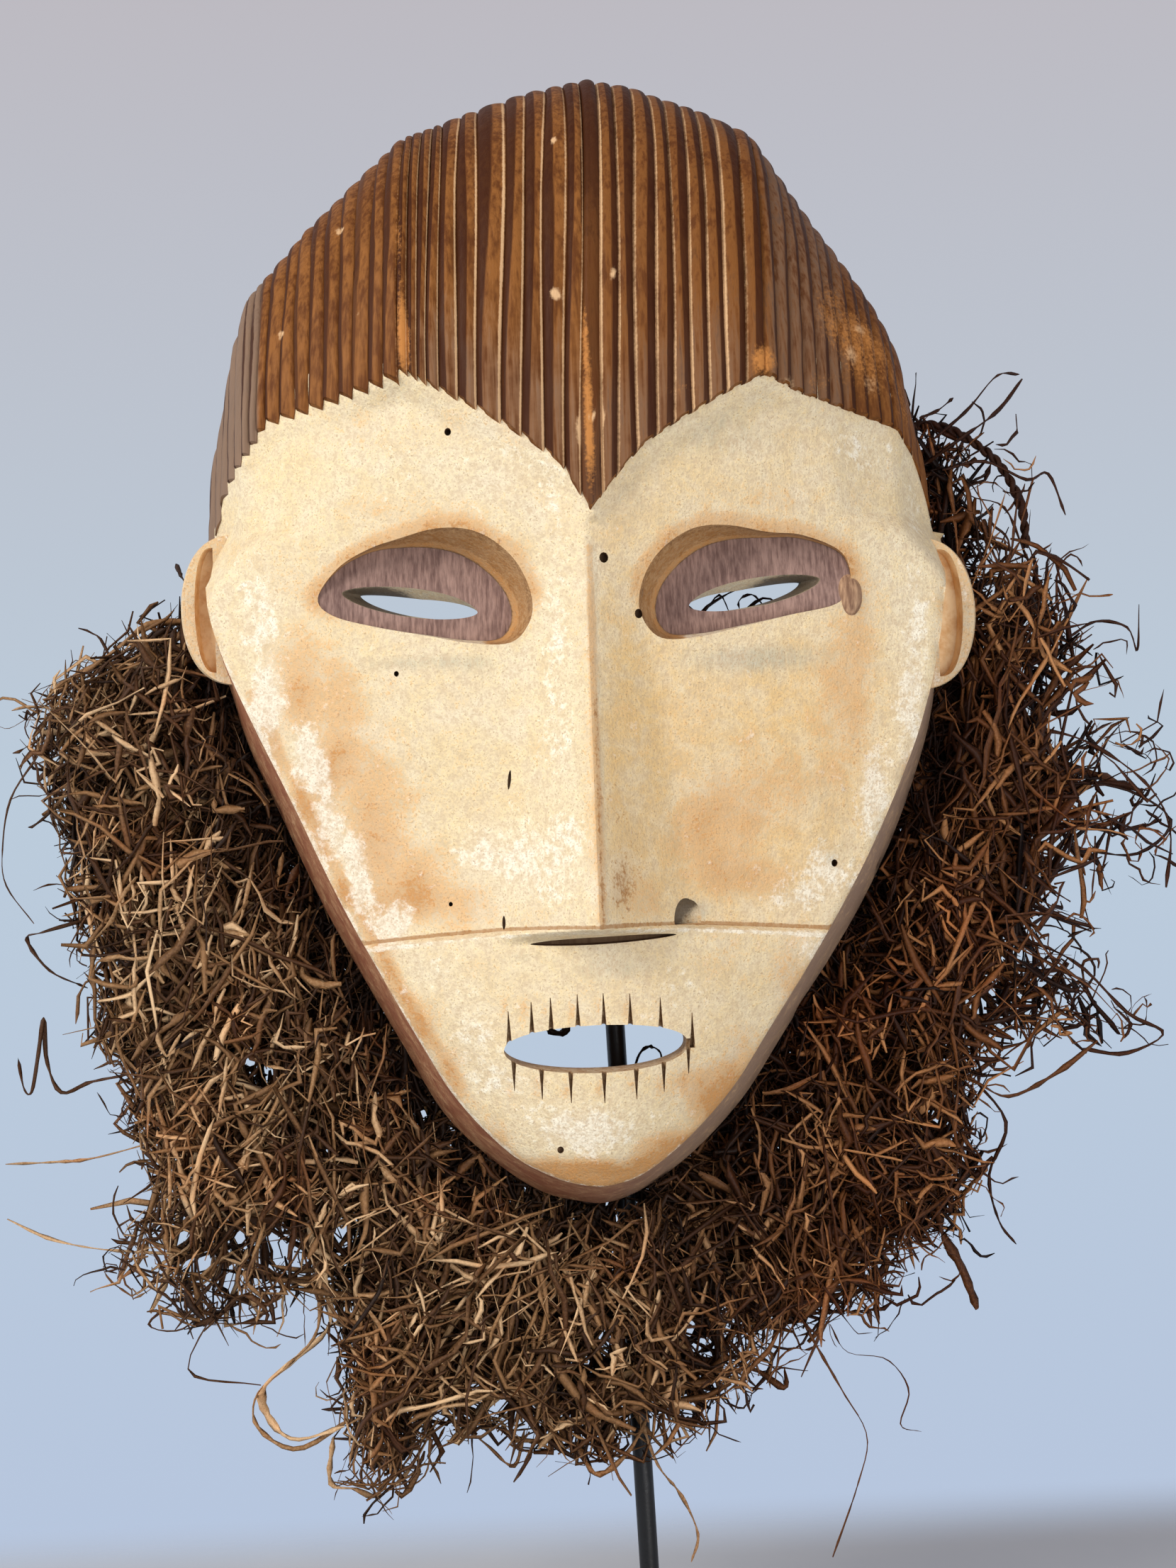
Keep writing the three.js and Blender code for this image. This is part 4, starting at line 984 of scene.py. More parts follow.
def ear_tools(side, top, bottom, reach):
    """One ear: a crescent flange with a worn edge, and the tool of the channel behind its outer edge."""
    half, middle = (top - bottom) / 2, (top + bottom) / 2
    turn = np.linspace(-math.pi / 2, math.pi / 2, 40)
    bend = np.cos(turn).clip(0) ** 0.7

    def crescent(root, out, tall):
        return np.column_stack((root + (out - root) * bend, middle + tall * np.sin(turn)))

    outer = crescent(EAR_ROOT, reach, half)
    inner = crescent(CHANNEL_ROOT, reach - EAR_LIP, half - 3.2)
    at = lambda ring, shift, d: level((ring - (shift, 0)) * (side, 1), d)
    worn = [at(outer, 2.2, EAR_BACK), at(outer, 0.3, EAR_FRONT - 5), at(outer, 0, EAR_FRONT - 3),
            at(outer, 0.25, EAR_FRONT - 1), at(outer, 0.8, EAR_FRONT)]
    flange = loft(worn, CLAY, ochre=0.45, chalk=0.15, bare=0.22)
    channel = loft([at(inner, 1, EAR_FRONT - EAR_CHANNEL), at(inner, 0, EAR_FRONT + 3)], CHANNEL)
    return flange, channel


def corner_lump():
    """The bare lump of wood left in the outer corner of the right eye."""
    bm = bmesh.new()
    bmesh.ops.create_uvsphere(bm, u_segments=24, v_segments=16, radius=1)
    place = Matrix.Translation((65.0, 148.0, depth_at(65.8, 147.3) - 1.5))
    lump = place @ Matrix.Diagonal((3.7, 5.8, 2.7, 1))
    bmesh.ops.transform(bm, matrix=lump, verts=bm.verts)
    return as_object(bm, KNOT_WOOD)


def nick_tool():
    """The nick knocked out of the crown's right side."""
    turn = circle(14)
    ring = np.column_stack((CROWN_NICK["u"] + CROWN_NICK["half_width"] * np.cos(turn),
                            CROWN_NICK["v"] + CROWN_NICK["half_height"] * np.sin(turn)))
    return loft([level(ring, -20), level(ring, 44)], HAIR, ochre=0.7)


def carve_mask():
    work = hair_block()
    carve(work, "UNION", face_block())
    carve(work, "DIFFERENCE", nick_tool())
    carve(work, "INTERSECT", wall_tool())
    ears = [ear_tools(*ear) for ear in EARS]
    for flange, _ in ears:
        carve(work, "UNION", flange)
    carve(work, "DIFFERENCE", hollow_tool())
    for _, channel in ears:
        carve(work, "DIFFERENCE", channel)
    for side in (-1, 1):
        carve(work, "DIFFERENCE", socket_tool(side))
    carve(work, "UNION", corner_lump())
    cuts = [slit_tool(-1), slit_tool(1), mouth_tool(), lens_tool(NOSE_SLOT, 40, 42, 72), nostril_tool()]
    cuts += [tooth_tool(u, 1) for u in TEETH_ABOVE] + [tooth_tool(u, -1) for u in TEETH_BELOW]
    cuts += [pit_tool(*hole) for hole in WORMHOLES]
    for tick in KNIFE_TICKS:
        top = depth_at(tick["u"], tick["v"])
        cuts.append(lens_tool(tick, 12, top - 2, top + 3))
    for cut in cuts:
        carve(work, "DIFFERENCE", cut)
    finished("carved_mask", smooth_mesh(work, MASK_SHARP), "carved_wood", "mask")


carve_mask()


# The stand: a straight steel rod that leans a little, hooked forward under the forehead and set into
# a flat steel plate. Both are lacquered black.
ROD_RADIUS = 2.5
ROD_BASE = (12.8, -145)
ROD_TOP = (0.9, 249.2)
ROD_DEPTH = -7
ROD_BEND = 9.6
HOOK_TIP_DEPTH = 24
ROD_SIDES = 40
FOOT_WIDTH, FOOT_LENGTH, FOOT_THICKNESS, FOOT_CORNER, FOOT_BEVEL = 150, 130, 10, 6, 1.2
ROD_GAP = 0.35
STEEL_SHARP = 40


def steel_finish():
    steel = Finish("black_lacquer", 0.38)
    fine = steel.grain(1200, 3, 0.6)
    scuff = steel.grain(260, 4, 0.7, (1, 1, 0.15))
    scuffed = steel.ease(scuff, 0.55, 0.8) * 0.5
    steel.set(
        Base_Color=steel.blend(scuffed, (0.012, 0.012, 0.013), (0.05, 0.05, 0.055)),
        Roughness=steel.ease(fine, 0.2, 0.8) * 0.14 + 0.30, Metallic=0.35,
    )
    steel.relief(fine, 0.05)
    return steel


STEEL = steel_finish()


def square_to(path, across):
    """Two directions square to a path at each of its points, the first of them square to across too."""
    along = np.gradient(path, axis=0)
    along /= np.linalg.norm(along, axis=1)[:, None]
    first = np.cross(across, along)
    first /= np.linalg.norm(first, axis=1)[:, None]
    return first, np.cross(along, first)


def rod_rings(points, radii):
    """Rings of the round rod along points, each with its own radius."""
    p = np.array(points, float)
    turn = circle(ROD_SIDES)[:, None]
    radii = np.broadcast_to(radii, len(p))
    parts = zip(p, radii, *square_to(p, (1, 0, 0)))
    return [c + r * (np.cos(turn) * a + np.sin(turn) * b) for c, r, a, b in parts]


def rod_path():
    low = np.array((*ROD_BASE, ROD_DEPTH))
    high = np.array((*ROD_TOP, ROD_DEPTH))
    points = [low + (high - low) * k for k in np.linspace(0, 1, 24)]
    u, v = ROD_TOP
    for k in np.linspace(0, math.pi / 2, 13)[1:]:
        points.append((u, v + ROD_BEND * math.sin(k), ROD_DEPTH + ROD_BEND * (1 - math.cos(k))))
    hook = (8, 14, 20, HOOK_TIP_DEPTH - 1, HOOK_TIP_DEPTH - 0.3, HOOK_TIP_DEPTH)
    return points + [(u, v + ROD_BEND, depth) for depth in hook]


def make_rod():
    points = rod_path()
    radii = np.full(len(points), float(ROD_RADIUS))
    radii[-2:] = ROD_RADIUS - 0.25, ROD_RADIUS - 0.8
    work = loft(rod_rings(points, radii), STEEL)
    finished("stand_rod_lacquered", smooth_mesh(work, STEEL_SHARP), "black_steel", "stand_rod")


def make_foot():
    bm = bmesh.new()
    bmesh.ops.create_cube(bm, size=1)
    place = Matrix.Translation((0, 0, FOOT_THICKNESS / 2))
    place = place @ Matrix.Diagonal((FOOT_WIDTH, FOOT_LENGTH, FOOT_THICKNESS, 1))
    bmesh.ops.transform(bm, matrix=place, verts=bm.verts)
    height = lambda e: abs(e.verts[0].co.z - e.verts[1].co.z)
    round_off = {"profile": 0.5, "affect": "EDGES", "material": -1}
    upright = [e for e in bm.edges if height(e) > 1]
    bmesh.ops.bevel(bm, geom=upright, offset=FOOT_CORNER, segments=8, **round_off)
    rims = [e for e in bm.edges if height(e) < 1e-6 and e.calc_face_angle(0) > 1]
    bmesh.ops.bevel(bm, geom=rims, offset=FOOT_BEVEL, segments=3, **round_off)
    bmesh.ops.transform(bm, matrix=TO_PART.inverted() @ Matrix.Scale(MM, 4), verts=bm.verts)
    work = as_object(bm, STEEL)
    carve(work, "DIFFERENCE", loft(rod_rings(rod_path()[:3], ROD_RADIUS + ROD_GAP), STEEL))
    finished("stand_foot_lacquered", smooth_mesh(work, STEEL_SHARP), "black_steel", "stand_foot")


make_rod()
make_foot()


# The beard: strips of dry raffia knotted side by side on a cord behind the rim. They hang down and
# outwards, kinked and crushed into each other, packed close near the rim and thin and wiry at the edge;
# near the rim and deep inside they are darkened with painted shade.
BEARD_EDGE = [
    (-98, 154), (-114, 147), (-124, 140), (-135, 134), (-141, 125), (-140, 115), (-136, 104), (-133, 92),
    (-131, 79), (-129, 63), (-126, 53), (-127, 43), (-120, 32), (-118, 20), (-111, 1), (-124, -7),
    (-124, -18), (-112, -21), (-105, -32), (-92, -33), (-79, -28), (-69, -23), (-67, -39), (-66, -57),
    (-68, -72), (-52, -77), (-42, -63), (-29, -61), (-19, -69), (-8, -67), (4, -73), (20, -66),
    (31, -59), (46, -52), (42, -41), (60, -39), (68, -34), (81, -32), (79, -19), (94, -20), (97, -7),
    (103, 5), (98, 19), (101, 26), (120, 33), (141, 33), (147, 43), (128, 51), (134, 69), (150, 79),
    (154, 95), (151, 110), (141, 124), (131, 142), (127, 158), (111, 164), (122, 179), (112, 190),
    (94, 195), (88, 206),
]
# Where it is open from front to back: middle across and up, and radius
BEARD_GAPS = [
    (-83, 33, 2.2), (-87, 36, 1.6), (-66, -9, 2.2), (-61, -8, 1.6), (-82, -13, 3.5), (-92, -10, 2.2),
    (-76, -16, 2.2), (-44, 20, 1.6), (-35, 18, 1.4), (-3, -46, 1.8), (1, -40, 1.5), (-10, -47, 1.5),
    (-26, -55, 2.2), (-21, -60, 1.8), (-32, -53, 1.5), (-42, -58, 1.8), (24, -38, 2), (27, -44, 2),
    (131, 147, 2), (135, 141, 2), (127, 114, 4.4), (132, 107, 2.4), (141, 106, 3.4), (141, 95, 3.8),
    (124, 86, 2.6), (140, 81, 3.8), (147, 85, 2.3), (141, 75, 3.2), (126, 73, 3.8), (120, 64, 2.3),
    (102, 42, 2.3), (120, 126, 2), (117, 118, 1.7), (136, 121, 2.2), (143, 121, 2.4), (134, 68, 2.6),
    (130, 60, 2.2), (137, 59, 3.6), (114, 180, 3.6), (108, 176, 3), (111, 169, 2), (123, 59, 2.6),
    (113, 55, 2.2), (107, 48, 2), (103, 182, 2), (134, 47, 2.3), (141, 43, 3), (149, 101, 2.2),
    (133, 96, 2), (133, 85, 2), (80, -30, 1.7), (90, 14, 1.5), (68, -40, 1.8), (41, -49, 1.7),
    (34, -38, 1.6), (-134, 69, 1.6), (-128, 63, 1.5), (-121, 9, 1.7), (-114, 2, 1.7), (-106, -9, 2),
    (-101, -16, 2), (-114, -14, 2.2), (-127, -8, 2), (-94, -22, 2.3),
]
TUFTS = 4
STRIPS_IN_TUFT = 4100
STRIPS_TRIED = 1.7
STRIP_POINTS = 6
STREWN_FROM, STREWN_TO, STREWN_TIMES = (-150, -80), (156, 208), 9
STRIP_LENGTH, LEAST_LENGTH, MOST_LENGTH = 17, 7, 48
LONG_SHARE, LONG_LENGTHS = 0.09, (26, 56)
STRIP_HALF_WIDTH = 0.70
WIRY_ENDS = 230
# Single strips that stand clear of the rest: points across and up, half width, how pale, and the
# depth of those that cross behind the eyes and the mouth
WISPS = [
    ([(-138, 116), (-145, 105), (-148, 92), (-147, 83), (-141, 73)], 0.35, 0.3),
    ([(-108, 17), (-127, 13), (-138, 12), (-150, 12)], 0.55, 0.75),
    ([(-108, -13), (-126, -10), (-139, -7), (-150, -2)], 0.6, 0.85),
    ([(-118, 34), (-128, 32), (-135, 30), (-139, 38), (-139, 49), (-141, 39), (-143, 30), (-145, 31),
      (-146, 39)], 0.6, 0.25),
    ([(-66, 4), (-70, -15), (-69, -32), (-77, -40), (-86, -47), (-86, -55), (-79, -61),
      (-66, -58)], 1.3, 0.95),
    ([(-67, 2), (-71, -16), (-72, -33), (-80, -42), (-88, -49), (-88, -57), (-78, -63),
      (-64, -57)], 0.7, 0.7),
    ([(-69, -61), (-70, -72), (-64, -74), (-58, -77), (-50, -70), (-42, -58)], 0.9, 0.8),
    ([(-60, -56), (-64, -70), (-55, -76), (-46, -72), (-44, -60)], 0.6, 0.6),
    ([(52, -35), (56, -43), (63, -56), (69, -68), (66, -80), (59, -99)], 0.45, 0.5),
    ([(60, -38), (64, -45), (74, -47), (80, -56), (77, -64), (83, -67)], 0.25, 0.4),
    ([(84, 4), (88, -6), (90, -15), (95, -25), (99, -36)], 1.5, 0.4),
    ([(10, -60), (14, -72), (20, -81), (24, -91), (22, -98)], 0.8, 0.75),
    ([(92, 184), (101, 190), (111, 197), (119, 206)], 0.6, 0.2),
    ([(94, 190), (104, 198), (111, 206), (118, 207)], 0.5, 0.2),
    ([(96, 182), (107, 184), (118, 179), (125, 181), (129, 170)], 0.5, 0.25),
    ([(91, 196), (96, 198), (100, 201)], 0.5, 0.2),
    ([(98, 184), (104, 176), (112, 172), (118, 160), (123, 150)], 0.5, 0.3),
    ([(-102, 164), (-100, 160), (-97, 155)], 0.6, 0.1),
    ([(128, 138), (136, 142), (143, 140), (146, 134), (147, 146)], 0.5, 0.2),
    ([(110, 112), (120, 114), (134, 110), (147, 99), (153, 87), (152, 72)], 0.7, 0.3),
    ([(118, 96), (130, 100), (144, 97), (153, 89), (144, 81), (129, 83)], 0.5, 0.1),
    ([(98, 58), (112, 60), (128, 53), (140, 40), (150, 34), (140, 29), (128, 31)], 0.7, 0.3),
    ([(88, 28), (99, 24), (109, 19), (121, 25), (132, 33)], 0.8, 0.5),
    ([(98, 26), (107, 13), (103, -1), (105, -13), (109, -19)], 0.5, 0.2),
    ([(-34, -48), (-36, -58), (-29, -66), (-23, -70), (-20, -62)], 0.6, 0.5),
    ([(12, -60), (6, -68), (-2, -73), (-7, -66)], 0.8, 0.7),
    ([(18, -50), (28, -52), (39, -49), (47, -53), (48, -49)], 0.9, 0.4),
    ([(-126, 112), (-136, 115), (-141, 123), (-136, 129), (-129, 134)], 0.45, 0.3),
    ([(-126, 74), (-138, 71), (-143, 69), (-137, 61), (-128, 56)], 0.6, 0.2),
    ([(-104, -22), (-115, -30), (-107, -32), (-97, -25), (-105, -42), (-87, -47)], 0.5, 0.3),
    ([(-92, 151), (-99, 149), (-109, 148), (-121, 140), (-135, 132)], 1.1, 0.6),
    ([(-94, 147), (-104, 145), (-116, 138), (-128, 133)], 0.9, 0.45),
    ([(100, 146), (80, 150), (60, 146), (50, 151), (42, 146), (38, 152), (33, 147),
      (29, 150)], 0.5, 0.05, -5),
    ([(98, 158), (76, 152), (57, 152), (52, 147), (47, 152), (43, 150), (45, 145)], 0.45, 0.1, -7),
    ([(96, 138), (74, 140), (54, 144), (50, 148), (55, 151), (58, 147), (53, 143)], 0.4, 0.0, -4),
    ([(94, 150), (70, 156), (48, 155), (36, 150), (31, 145), (27, 148)], 0.55, 0.15, -9),
    ([(8, -6), (9, 10), (10.5, 24), (12.6, 32.5), (15.4, 35.4), (18.2, 34.2), (19, 31)], 0.7, 0.0, -3.5),
    ([(-66, 66), (-42, 60), (-22, 50), (-12, 42.4), (-9, 40), (-6, 40.4), (-3.6, 46)], 1.0, 0.0, -3.5),
]


def raffia_finish(name, tones, roughness=0.5):
    raffia = Finish(name, roughness)
    raffia.set(Specular_IOR_Level=0.15)
    streak = raffia.grain(1500, 3, 0.6)
    broad = raffia.grain(45, 3, 0.6)
    tone = raffia.mark("tone") + (streak - 0.5) * 0.45
    stops = [(at / (len(tones) - 1), colour) for at, colour in enumerate(tones)]
    colour = raffia.node("ValToRGB", {"stops": stops}, {"Fac": tone})
    colour = raffia.blend(raffia.ease(broad, 0.48, 0.7) * 0.5, colour, (1.0, 0.62, 0.36), "MULTIPLY")
    # Darker on the right, away from the light, as painted shade, and redder in tone
    right = raffia.ease(raffia.node("SeparateXYZ", {}, {0: raffia.place}, "X"), -0.02, 0.06)
    colour = raffia.blend(right, colour, (0.62, 0.43, 0.30), "MULTIPLY")
    raffia.set(Base_Color=colour)
    raffia.relief(streak, 0.15)
    return raffia


RAFFIA = raffia_finish("dry_raffia", [
    (0.013, 0.0055, 0.0025), (0.074, 0.031, 0.012), (0.27, 0.140, 0.058), (0.68, 0.45, 0.245),
])


def inside(ring, points):
    x, y = points.T
    within = np.zeros(len(points), bool)
    for (x0, y0), (x1, y1) in zip(ring, np.roll(ring, -1, axis=0)):
        if y0 != y1:
            within ^= ((y0 > y) != (y1 > y)) & (x < x0 + (y - y0) / (y1 - y0) * (x1 - x0))
    return within


def strip_section(thickness):
    """The cross-section of a strip: a flat diamond, two units wide."""
    section = bpy.data.curves.new("section", "CURVE")
    ring = section.splines.new("POLY")
    ring.points.add(3)
    for point, (x, y) in zip(ring.points, ((1, 0), (0, thickness), (-1, 0), (0, -thickness))):
        point.co = (x, y, 0, 1)
    ring.use_cyclic_u = True
    return placed("section", section)


def strip_mesh(paths, widths, twists, tones, finish, thickness=0.3):
    """Flat closed strips along paths of (u, v, d), each with its half widths, twist and paleness."""
    curve = bpy.data.curves.new("strips", "CURVE")
    curve.dimensions = "3D"
    curve.bevel_mode = "OBJECT"
    curve.bevel_object = strip_section(thickness)
    curve.use_fill_caps = True
    for path, width, twist in zip(paths, widths, twists):
        spline = curve.splines.new("POLY")
        spline.points.add(len(path) - 1)
        spline.points.foreach_set("co", np.column_stack((path, np.ones(len(path)))).ravel())
        spline.points.foreach_set("radius", width)
        spline.points.foreach_set("tilt", twist)
    work = placed("strips", curve)
    mesh = finished_shape(work)
    bpy.data.objects.remove(curve.bevel_object)
    bpy.data.objects.remove(work)
    # The caps' vertices come first, for the last strip first, and are then joined to the sides
    sides = [4 * len(path) for path in paths]
    tone = np.concatenate((np.repeat(tones[::-1], 8), np.repeat(tones, sides)))
    mesh.attributes.new("tone", "FLOAT", "POINT").data.foreach_set("value", tone)
    bm = bmesh.new()
    bm.from_mesh(mesh)
    bmesh.ops.remove_doubles(bm, verts=bm.verts, dist=1e-5)
    bm.to_mesh(mesh)
    bm.free()
    mesh.transform(TO_PART)
    mesh.materials.clear()
    mesh.materials.append(finish.material)
    return mesh


def strewn_places(rng, edge, rim, count):
    """Places in the beard, thinner towards its edge: where, how far inside the edge and from the rim,
    whether behind the mask, and the way out from the rim."""
    spot = rng.uniform(STREWN_FROM, STREWN_TO, (count * STREWN_TIMES, 2))
    rim_gap, root = nearest(rim, spot)
    behind = inside(rim, spot)
    within = inside(edge, spot) & (~behind | (rim_gap < 7))
    spot, rim_gap, root, behind = (a[within] for a in (spot, rim_gap, root, behind))
    edge_gap, _ = nearest(edge, spot)
    open_side = ease((spot[:, 0] - 84) / 30)
    close = ease(edge_gap / (13 + 18 * open_side))
    keep = rng.uniform(0, 1, len(spot)) < (0.34 - 0.16 * open_side) + (0.66 + 0.16 * open_side) * close
    kept = (a[keep][:count] for a in (spot, rim_gap, root, behind, edge_gap))
    spot, rim_gap, root, behind, edge_gap = kept
    away = np.where(behind, -1, 1)[:, None] * (spot - root) / np.maximum(rim_gap, 0.1)[:, None]
    return spot, edge_gap, rim_gap, behind, away


def kinked_paths(rng, places, turn):
    """A path through each place, set off its own way and kinked here and there."""
    n, parts = len(places), STRIP_POINTS - 1
    length = rng.lognormal(math.log(STRIP_LENGTH), 0.42, n).clip(LEAST_LENGTH, MOST_LENGTH)
    long = rng.uniform(0, 1, n) < LONG_SHARE
    length = np.where(long, rng.uniform(*LONG_LENGTHS, n), length)
    share = rng.uniform(0.5, 1.5, (n, parts))
    steps = share / share.sum(axis=1)[:, None] * length[:, None]
    bend = rng.normal(0, 0.26, (n, parts))
    kink = rng.uniform(0, 1, (n, parts)) < np.where(long, 0.08, 0.22)[:, None]
    bend = np.where(kink, rng.choice((-1, 1), (n, parts)) * rng.uniform(0.7, 2.3, (n, parts)), bend)
    heading = turn[:, None] + np.cumsum(bend, axis=1)
    dip = rng.normal(0, 0.2, (n, parts))
    moves = np.stack((np.cos(heading) * steps, np.sin(heading) * steps, dip * steps), axis=2)
    path = np.concatenate((np.zeros((n, 1, 3)), np.cumsum(moves, axis=1)), axis=1)
    path -= path.mean(axis=1, keepdims=True)
    return path + places[:, None, :]


def clear_paths(rng, path, edge, rim):
    """Which paths stay near the beard's edge or inside it, and clear of mask, rod and openings."""
    n = len(path)
    flat, depth = path[:, :, :2].reshape(-1, 2), path[:, :, 2].ravel()
    stray = nearest(edge, flat)[0] * ~inside(edge, flat)
    allowed = rng.choice((1.5, 4.5, 9), n, p=(0.66, 0.26, 0.08))
    in_mask = inside(rim, flat) & ((depth > -2.0) | (nearest(rim, flat)[0] > 8))
    (top_u, top_v), (base_u, base_v) = ROD_TOP, ROD_BASE
    rod_u = top_u + (base_u - top_u) * (top_v - flat[:, 1]) / (top_v - base_v)
    at_rod = np.hypot(flat[:, 0] - rod_u, depth - ROD_DEPTH) < ROD_RADIUS + 1.5
    good = stray.reshape(n, -1).max(axis=1) < allowed
    good &= ~(in_mask | at_rod).reshape(n, -1).any(axis=1)
    midway = (path[:, 1:, :2] + path[:, :-1, :2]) / 2
    spread = np.concatenate((path[:, :, :2], midway), axis=1)
    for u, v, radius in BEARD_GAPS:
        across = np.hypot(spread[:, :, 0] - u, spread[:, :, 1] - v).min(axis=1) < radius
        good &= ~across | (rng.uniform(0, 1, n) < 0.04)
    return good


def hung_strips(rng, count):
    """Strips strewn through the beard: their paths, half widths and paleness."""
    edge = np.array(BEARD_EDGE, float)
    rim = np.array(RIM + DOME_TOP[::-1], float)
    spot, edge_gap, rim_gap, behind, away = strewn_places(rng, edge, rim, count)
    n = len(spot)
    hang = away * 0.40 + np.array((0, -0.85))
    turn = np.arctan2(hang[:, 1], hang[:, 0])
    turn -= 0.95 * ease((spot[:, 1] - 60) / 45) * ease((spot[:, 0] - 40) / 40)
    clump, shade, hollow = (
        np.array([noise.noise(Vector((p[0] / size, p[1] / size, size))) for p in spot])
        for size in (22, 11, 7.5)
    )
    turn = turn + 1.25 * clump + rng.normal(0, 0.34, n)
    turn = np.where(rng.uniform(0, 1, n) < 0.17, rng.uniform(-math.pi, math.pi, n), turn)
    swell = np.minimum(1, (rim_gap + 3) / 18) ** 0.7 * np.minimum(1, (edge_gap + 2) / 14) ** 0.6
    layer = rng.beta(0.9, 0.8, n)
    layer = np.where((hollow < -0.12) & (layer > 0.45), layer * 0.45, layer)
    depth = -1 + swell * (15 * layer - 16 * (1 - layer)) * 0.97
    tucked = behind | ((rim_gap < 9) & (rng.uniform(0, 1, n) < 0.6))
    depth = np.where(tucked, -3 - 9 * rng.uniform(0, 1, n), depth)
    path = kinked_paths(rng, np.column_stack((spot, depth)), turn)
    good = clear_paths(rng, path, edge, rim)
    rim_shade = 1 - ease((rim_gap - 2) / 15)
    # Painted shade: strips deeper in the beard are darker, and so are those near the rim
    tone = rng.beta(1.25, 2.0, n) + 0.30 * (layer - 0.5) + 0.35 * shade
    tone -= (0.34 - 0.14 * (spot[:, 0] > 0)) * rim_shade
    width = rng.lognormal(math.log(STRIP_HALF_WIDTH), 0.32, n).clip(0.32, 1.6)
    width = width * (0.7 + 0.3 * ease(edge_gap / 15))
    return path[good], width[good], tone.clip(0, 1)[good]


def wiry_strips(rng, count):
    """Paths of thin curling ends round the beard's edge."""
    edge = np.array(BEARD_EDGE, float)
    paths = []
    for _ in range(count):
        i = rng.integers(1, len(edge) - 2)
        line = edge[i + 1] - edge[i]
        start = edge[i] + line * rng.uniform()
        outward = np.array((-line[1], line[0])) / -np.hypot(*line)
        heading = math.atan2(outward[1], outward[0]) + rng.normal(0, 0.9)
        curl = rng.normal(0, 0.4)
        point = np.array((*(start - outward * rng.uniform(1, 7)), rng.uniform(-9, 7)))
        path = [point]
        for _ in range(7):
            heading += curl + rng.normal(0, 0.4)
            step = rng.uniform(1.0, 3.0)
            point = point + (math.cos(heading) * step, math.sin(heading) * step, rng.normal(0, 0.8))
            path.append(point)
        paths.append(np.array(path))
    return paths


def taper(count, width, rng):
    """Half widths along a strip: crushed thinner here and there, and drawn in at its ends."""
    widths = width * rng.uniform(0.65, 1.15, count)
    widths[[0, -1]] *= rng.uniform(0.15, 0.6, 2)
    return widths


def make_beard():
    rng = np.random.default_rng(23)
    paths, widths, tones = hung_strips(rng, int(TUFTS * STRIPS_IN_TUFT * STRIPS_TRIED))
    wanted = min(len(paths), TUFTS * STRIPS_IN_TUFT)
    paths, widths, tones = paths[:wanted], widths[:wanted], tones[:wanted]
    middle = paths.mean(axis=1)
    order = np.argsort(np.arctan2(middle[:, 0] + 3, 120 - middle[:, 1]))
    for tuft in range(TUFTS):
        part = order[tuft * wanted // TUFTS:(tuft + 1) * wanted // TUFTS]
        twist = rng.uniform(-1.2, 1.2, (len(part), 1))
        twist = twist + np.cumsum(rng.normal(0, 0.5, (len(part), STRIP_POINTS)), axis=1)
        wide = [taper(STRIP_POINTS, w, rng) for w in widths[part]]
        mesh = strip_mesh(paths[part], wide, twist, tones[part], RAFFIA)
        finished(f"beard_strips_{tuft + 1}", mesh, "raffia_fibre", "fibre_beard")


def make_wisps():
    rng = np.random.default_rng(5)
    paths, wide, tones = [], [], []
    for points, width, tone, *behind in WISPS:
        depth, sway = (behind[0], 0.8) if behind else (0, 3)
        sag = [(u, v, depth + sway * math.sin(1.7 * n + u)) for n, (u, v) in enumerate(points)]
        route = bent(sag, 4 * len(points) + 1)
        paths.append(route)
        wide.append(taper(len(route), width, rng))
        tones.append(tone)
    for path in wiry_strips(rng, WIRY_ENDS):
        paths.append(path)
        wide.append(taper(len(path), rng.uniform(0.22, 0.5), rng))
        tones.append(rng.beta(1.4, 3.2))
    twist = [np.cumsum(rng.normal(0, 0.45, len(path))) for path in paths]
    mesh = strip_mesh(paths, wide, twist, tones, RAFFIA, 0.4)
    finished("beard_wisps", mesh, "raffia_fibre", "fibre_beard")


# The cord behind the rim that carries the beard: two strands laid together, with a turn of raffia
# round it at every knot, and a loose end that loops out on the right.
CORD_DEPTH = -2.3
CORD_PATH = [
    (-89, 147), (-87, 132), (-80.5, 115), (-72.5, 96), (-63.5, 76), (-54, 58), (-43.5, 38.5), (-34, 23),
    (-23, 11.5), (-12, 4), (0, 1), (12, 4), (24, 12.5), (36, 25), (46, 39.5), (57.5, 56.5), (67, 72),
    (76, 89), (83.5, 108), (88, 126), (89, 145), (89, 163), (87.5, 180),
]
CORD_LOOP = [
    (86.5, 191, -3), (94, 195, -5), (104, 191, -4), (112.5, 183, -2), (117.5, 172, -2), (118.5, 162, -3),
]
CORD_POINTS = 620
CORD_LAY, STRAND_RADIUS, STRAND_OUT = 6.5, 0.85, 0.62
KNOT_EVERY, KNOT_POINTS, KNOT_LAY, KNOT_RADIUS, KNOT_OUT = 7, 26, 0.95, 0.42, 1.75
LOOSE_END = 45

TWINE = raffia_finish("dark_twine", [
    (0.020, 0.009, 0.005), (0.06, 0.027, 0.013), (0.15, 0.08, 0.04),
], 0.6)


def travelled(path):
    """How far along a path each of its points lies."""
    return np.concatenate(([0], np.cumsum(np.linalg.norm(np.diff(path, axis=0), axis=1))))


def twisted(path, lay, out, phase):
    """A path wound round another at a distance, a turn for each length of lay."""
    first, second = square_to(path, (0, 0, 1))
    turn = (2 * math.pi * travelled(path) / lay + phase)[:, None]
    return path + out * (np.cos(turn) * first + np.sin(turn) * second)


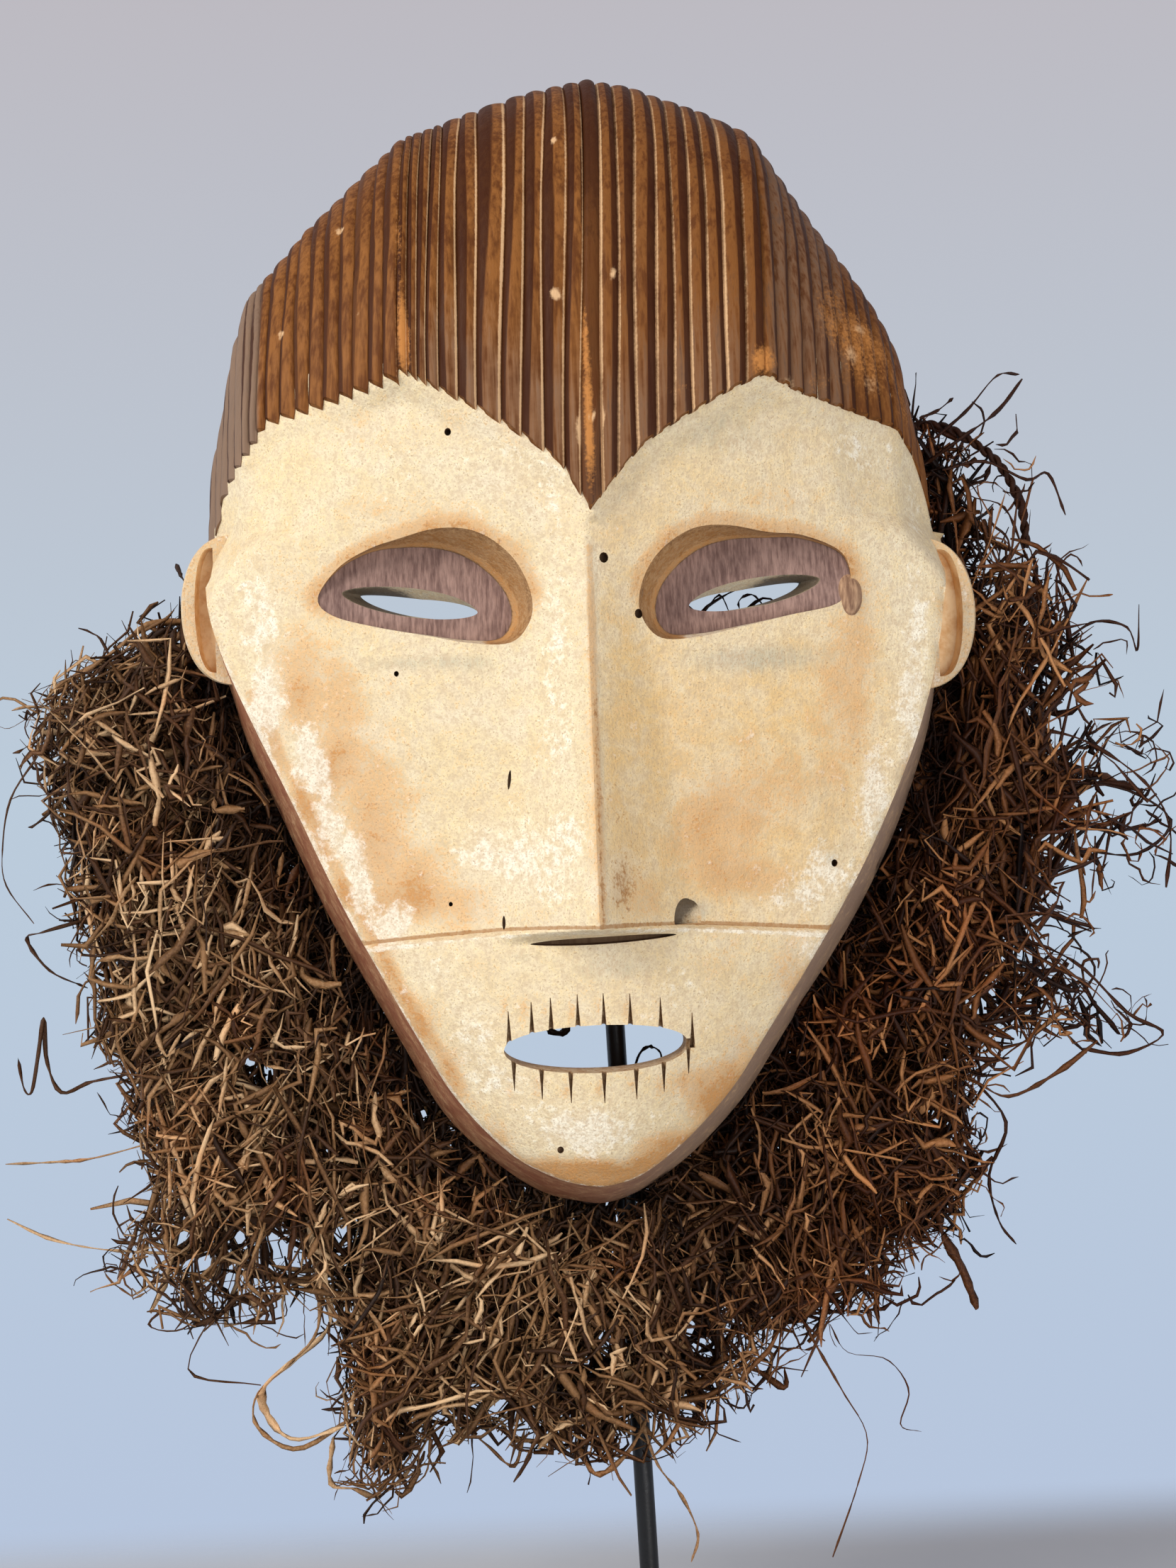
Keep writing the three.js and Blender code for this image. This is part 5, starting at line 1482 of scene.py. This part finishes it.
def make_cord():
    path = bent([(u, v, CORD_DEPTH) for u, v in CORD_PATH] + CORD_LOOP, CORD_POINTS)
    paths = [twisted(path, CORD_LAY, STRAND_OUT, phase) for phase in (0, math.pi)]
    widths = [np.full(len(p), STRAND_RADIUS) for p in paths]
    length = travelled(path)
    for at in np.arange(4, length[-1] - LOOSE_END, KNOT_EVERY):
        i = np.searchsorted(length, at)
        paths.append(twisted(bent(path[i:i + 4], KNOT_POINTS), KNOT_LAY, KNOT_OUT, at))
        widths.append(np.full(KNOT_POINTS, KNOT_RADIUS))
    twist = [np.zeros(len(p)) for p in paths]
    tones = [0.3, 0.4] + [0.75] * (len(paths) - 2)
    mesh = strip_mesh(paths, widths, twist, tones, TWINE, 0.9)
    mesh.shade_smooth()
    finished("twisted_cord", mesh, "twisted_cord", "beard_cord")


make_cord()
make_beard()
make_wisps()


# The stage: a pale floor that fades into a plain studio grey, lit softly from the upper left, its
# lamps turned to the middle of the mask. Their places and sizes are in metres.
LIT = Vector((0, 0, 0.27))
FLOOR_RADIUS = 0.45


def stage_floor():
    floor = Finish("pale_floor", 0.85)
    fine = floor.grain(40, 3, 0.6)
    floor.set(Base_Color=floor.blend(fine, (0.46, 0.48, 0.50), (0.50, 0.51, 0.52)))
    far = floor.node("VectorMath", {"operation": "LENGTH"}, {0: floor.place}, "Value")
    away = floor.node("SeparateXYZ", {}, {0: floor.place}, "Y")
    floor.set(Alpha=(1 - floor.ease(away, 0.185, 0.262)) * (1 - floor.ease(far, 0.30, 0.44)))
    bm = bmesh.new()
    bmesh.ops.create_circle(bm, cap_ends=True, segments=96, radius=FLOOR_RADIUS)
    mesh = bpy.data.meshes.new("floor")
    bm.to_mesh(mesh)
    bm.free()
    mesh.materials.append(floor.material)
    placed("floor", mesh)


def studio_air():
    world = bpy.data.worlds.new("studio")
    bpy.context.scene.world = world
    world.use_nodes = True
    tree = world.node_tree
    place = tree.nodes.new("ShaderNodeTexCoord")
    split = tree.nodes.new("ShaderNodeSeparateXYZ")
    ramp = tree.nodes.new("ShaderNodeValToRGB")
    tree.links.new(place.outputs["Generated"], split.inputs[0])
    lift = tree.nodes.new("ShaderNodeMapRange")
    lift.inputs["From Min"].default_value = -0.3
    lift.inputs["From Max"].default_value = 0.3
    tree.links.new(split.outputs["Z"], lift.inputs["Value"])
    tree.links.new(lift.outputs[0], ramp.inputs[0])
    set_stops(ramp.color_ramp.elements, [
        (0.0, (0.47, 0.56, 0.73)), (0.5, (0.50, 0.60, 0.71)), (1.0, (0.51, 0.49, 0.53)),
    ])
    tree.links.new(ramp.outputs[0], tree.nodes["Background"].inputs["Color"])


def soft_light(name, place, size, watts, colour):
    light = bpy.data.lights.new(name, "AREA")
    light.size = size
    light.energy = watts
    light.color = colour
    lamp = placed(name, light)
    lamp.location = place
    lamp.rotation_mode = "QUATERNION"
    lamp.rotation_quaternion = (LIT - Vector(place)).to_track_quat("-Z", "Y")


stage_floor()
studio_air()
soft_light("key", (-1.0, -0.9, 0.95), 0.6, 16.9, (1.0, 0.975, 0.94))
soft_light("side", (-1.3, 0.1, 0.5), 0.8, 5, (0.86, 0.93, 1.0))
soft_light("bounce", (0.45, -1.1, 0.06), 0.7, 7.4, (1.0, 0.97, 0.93))
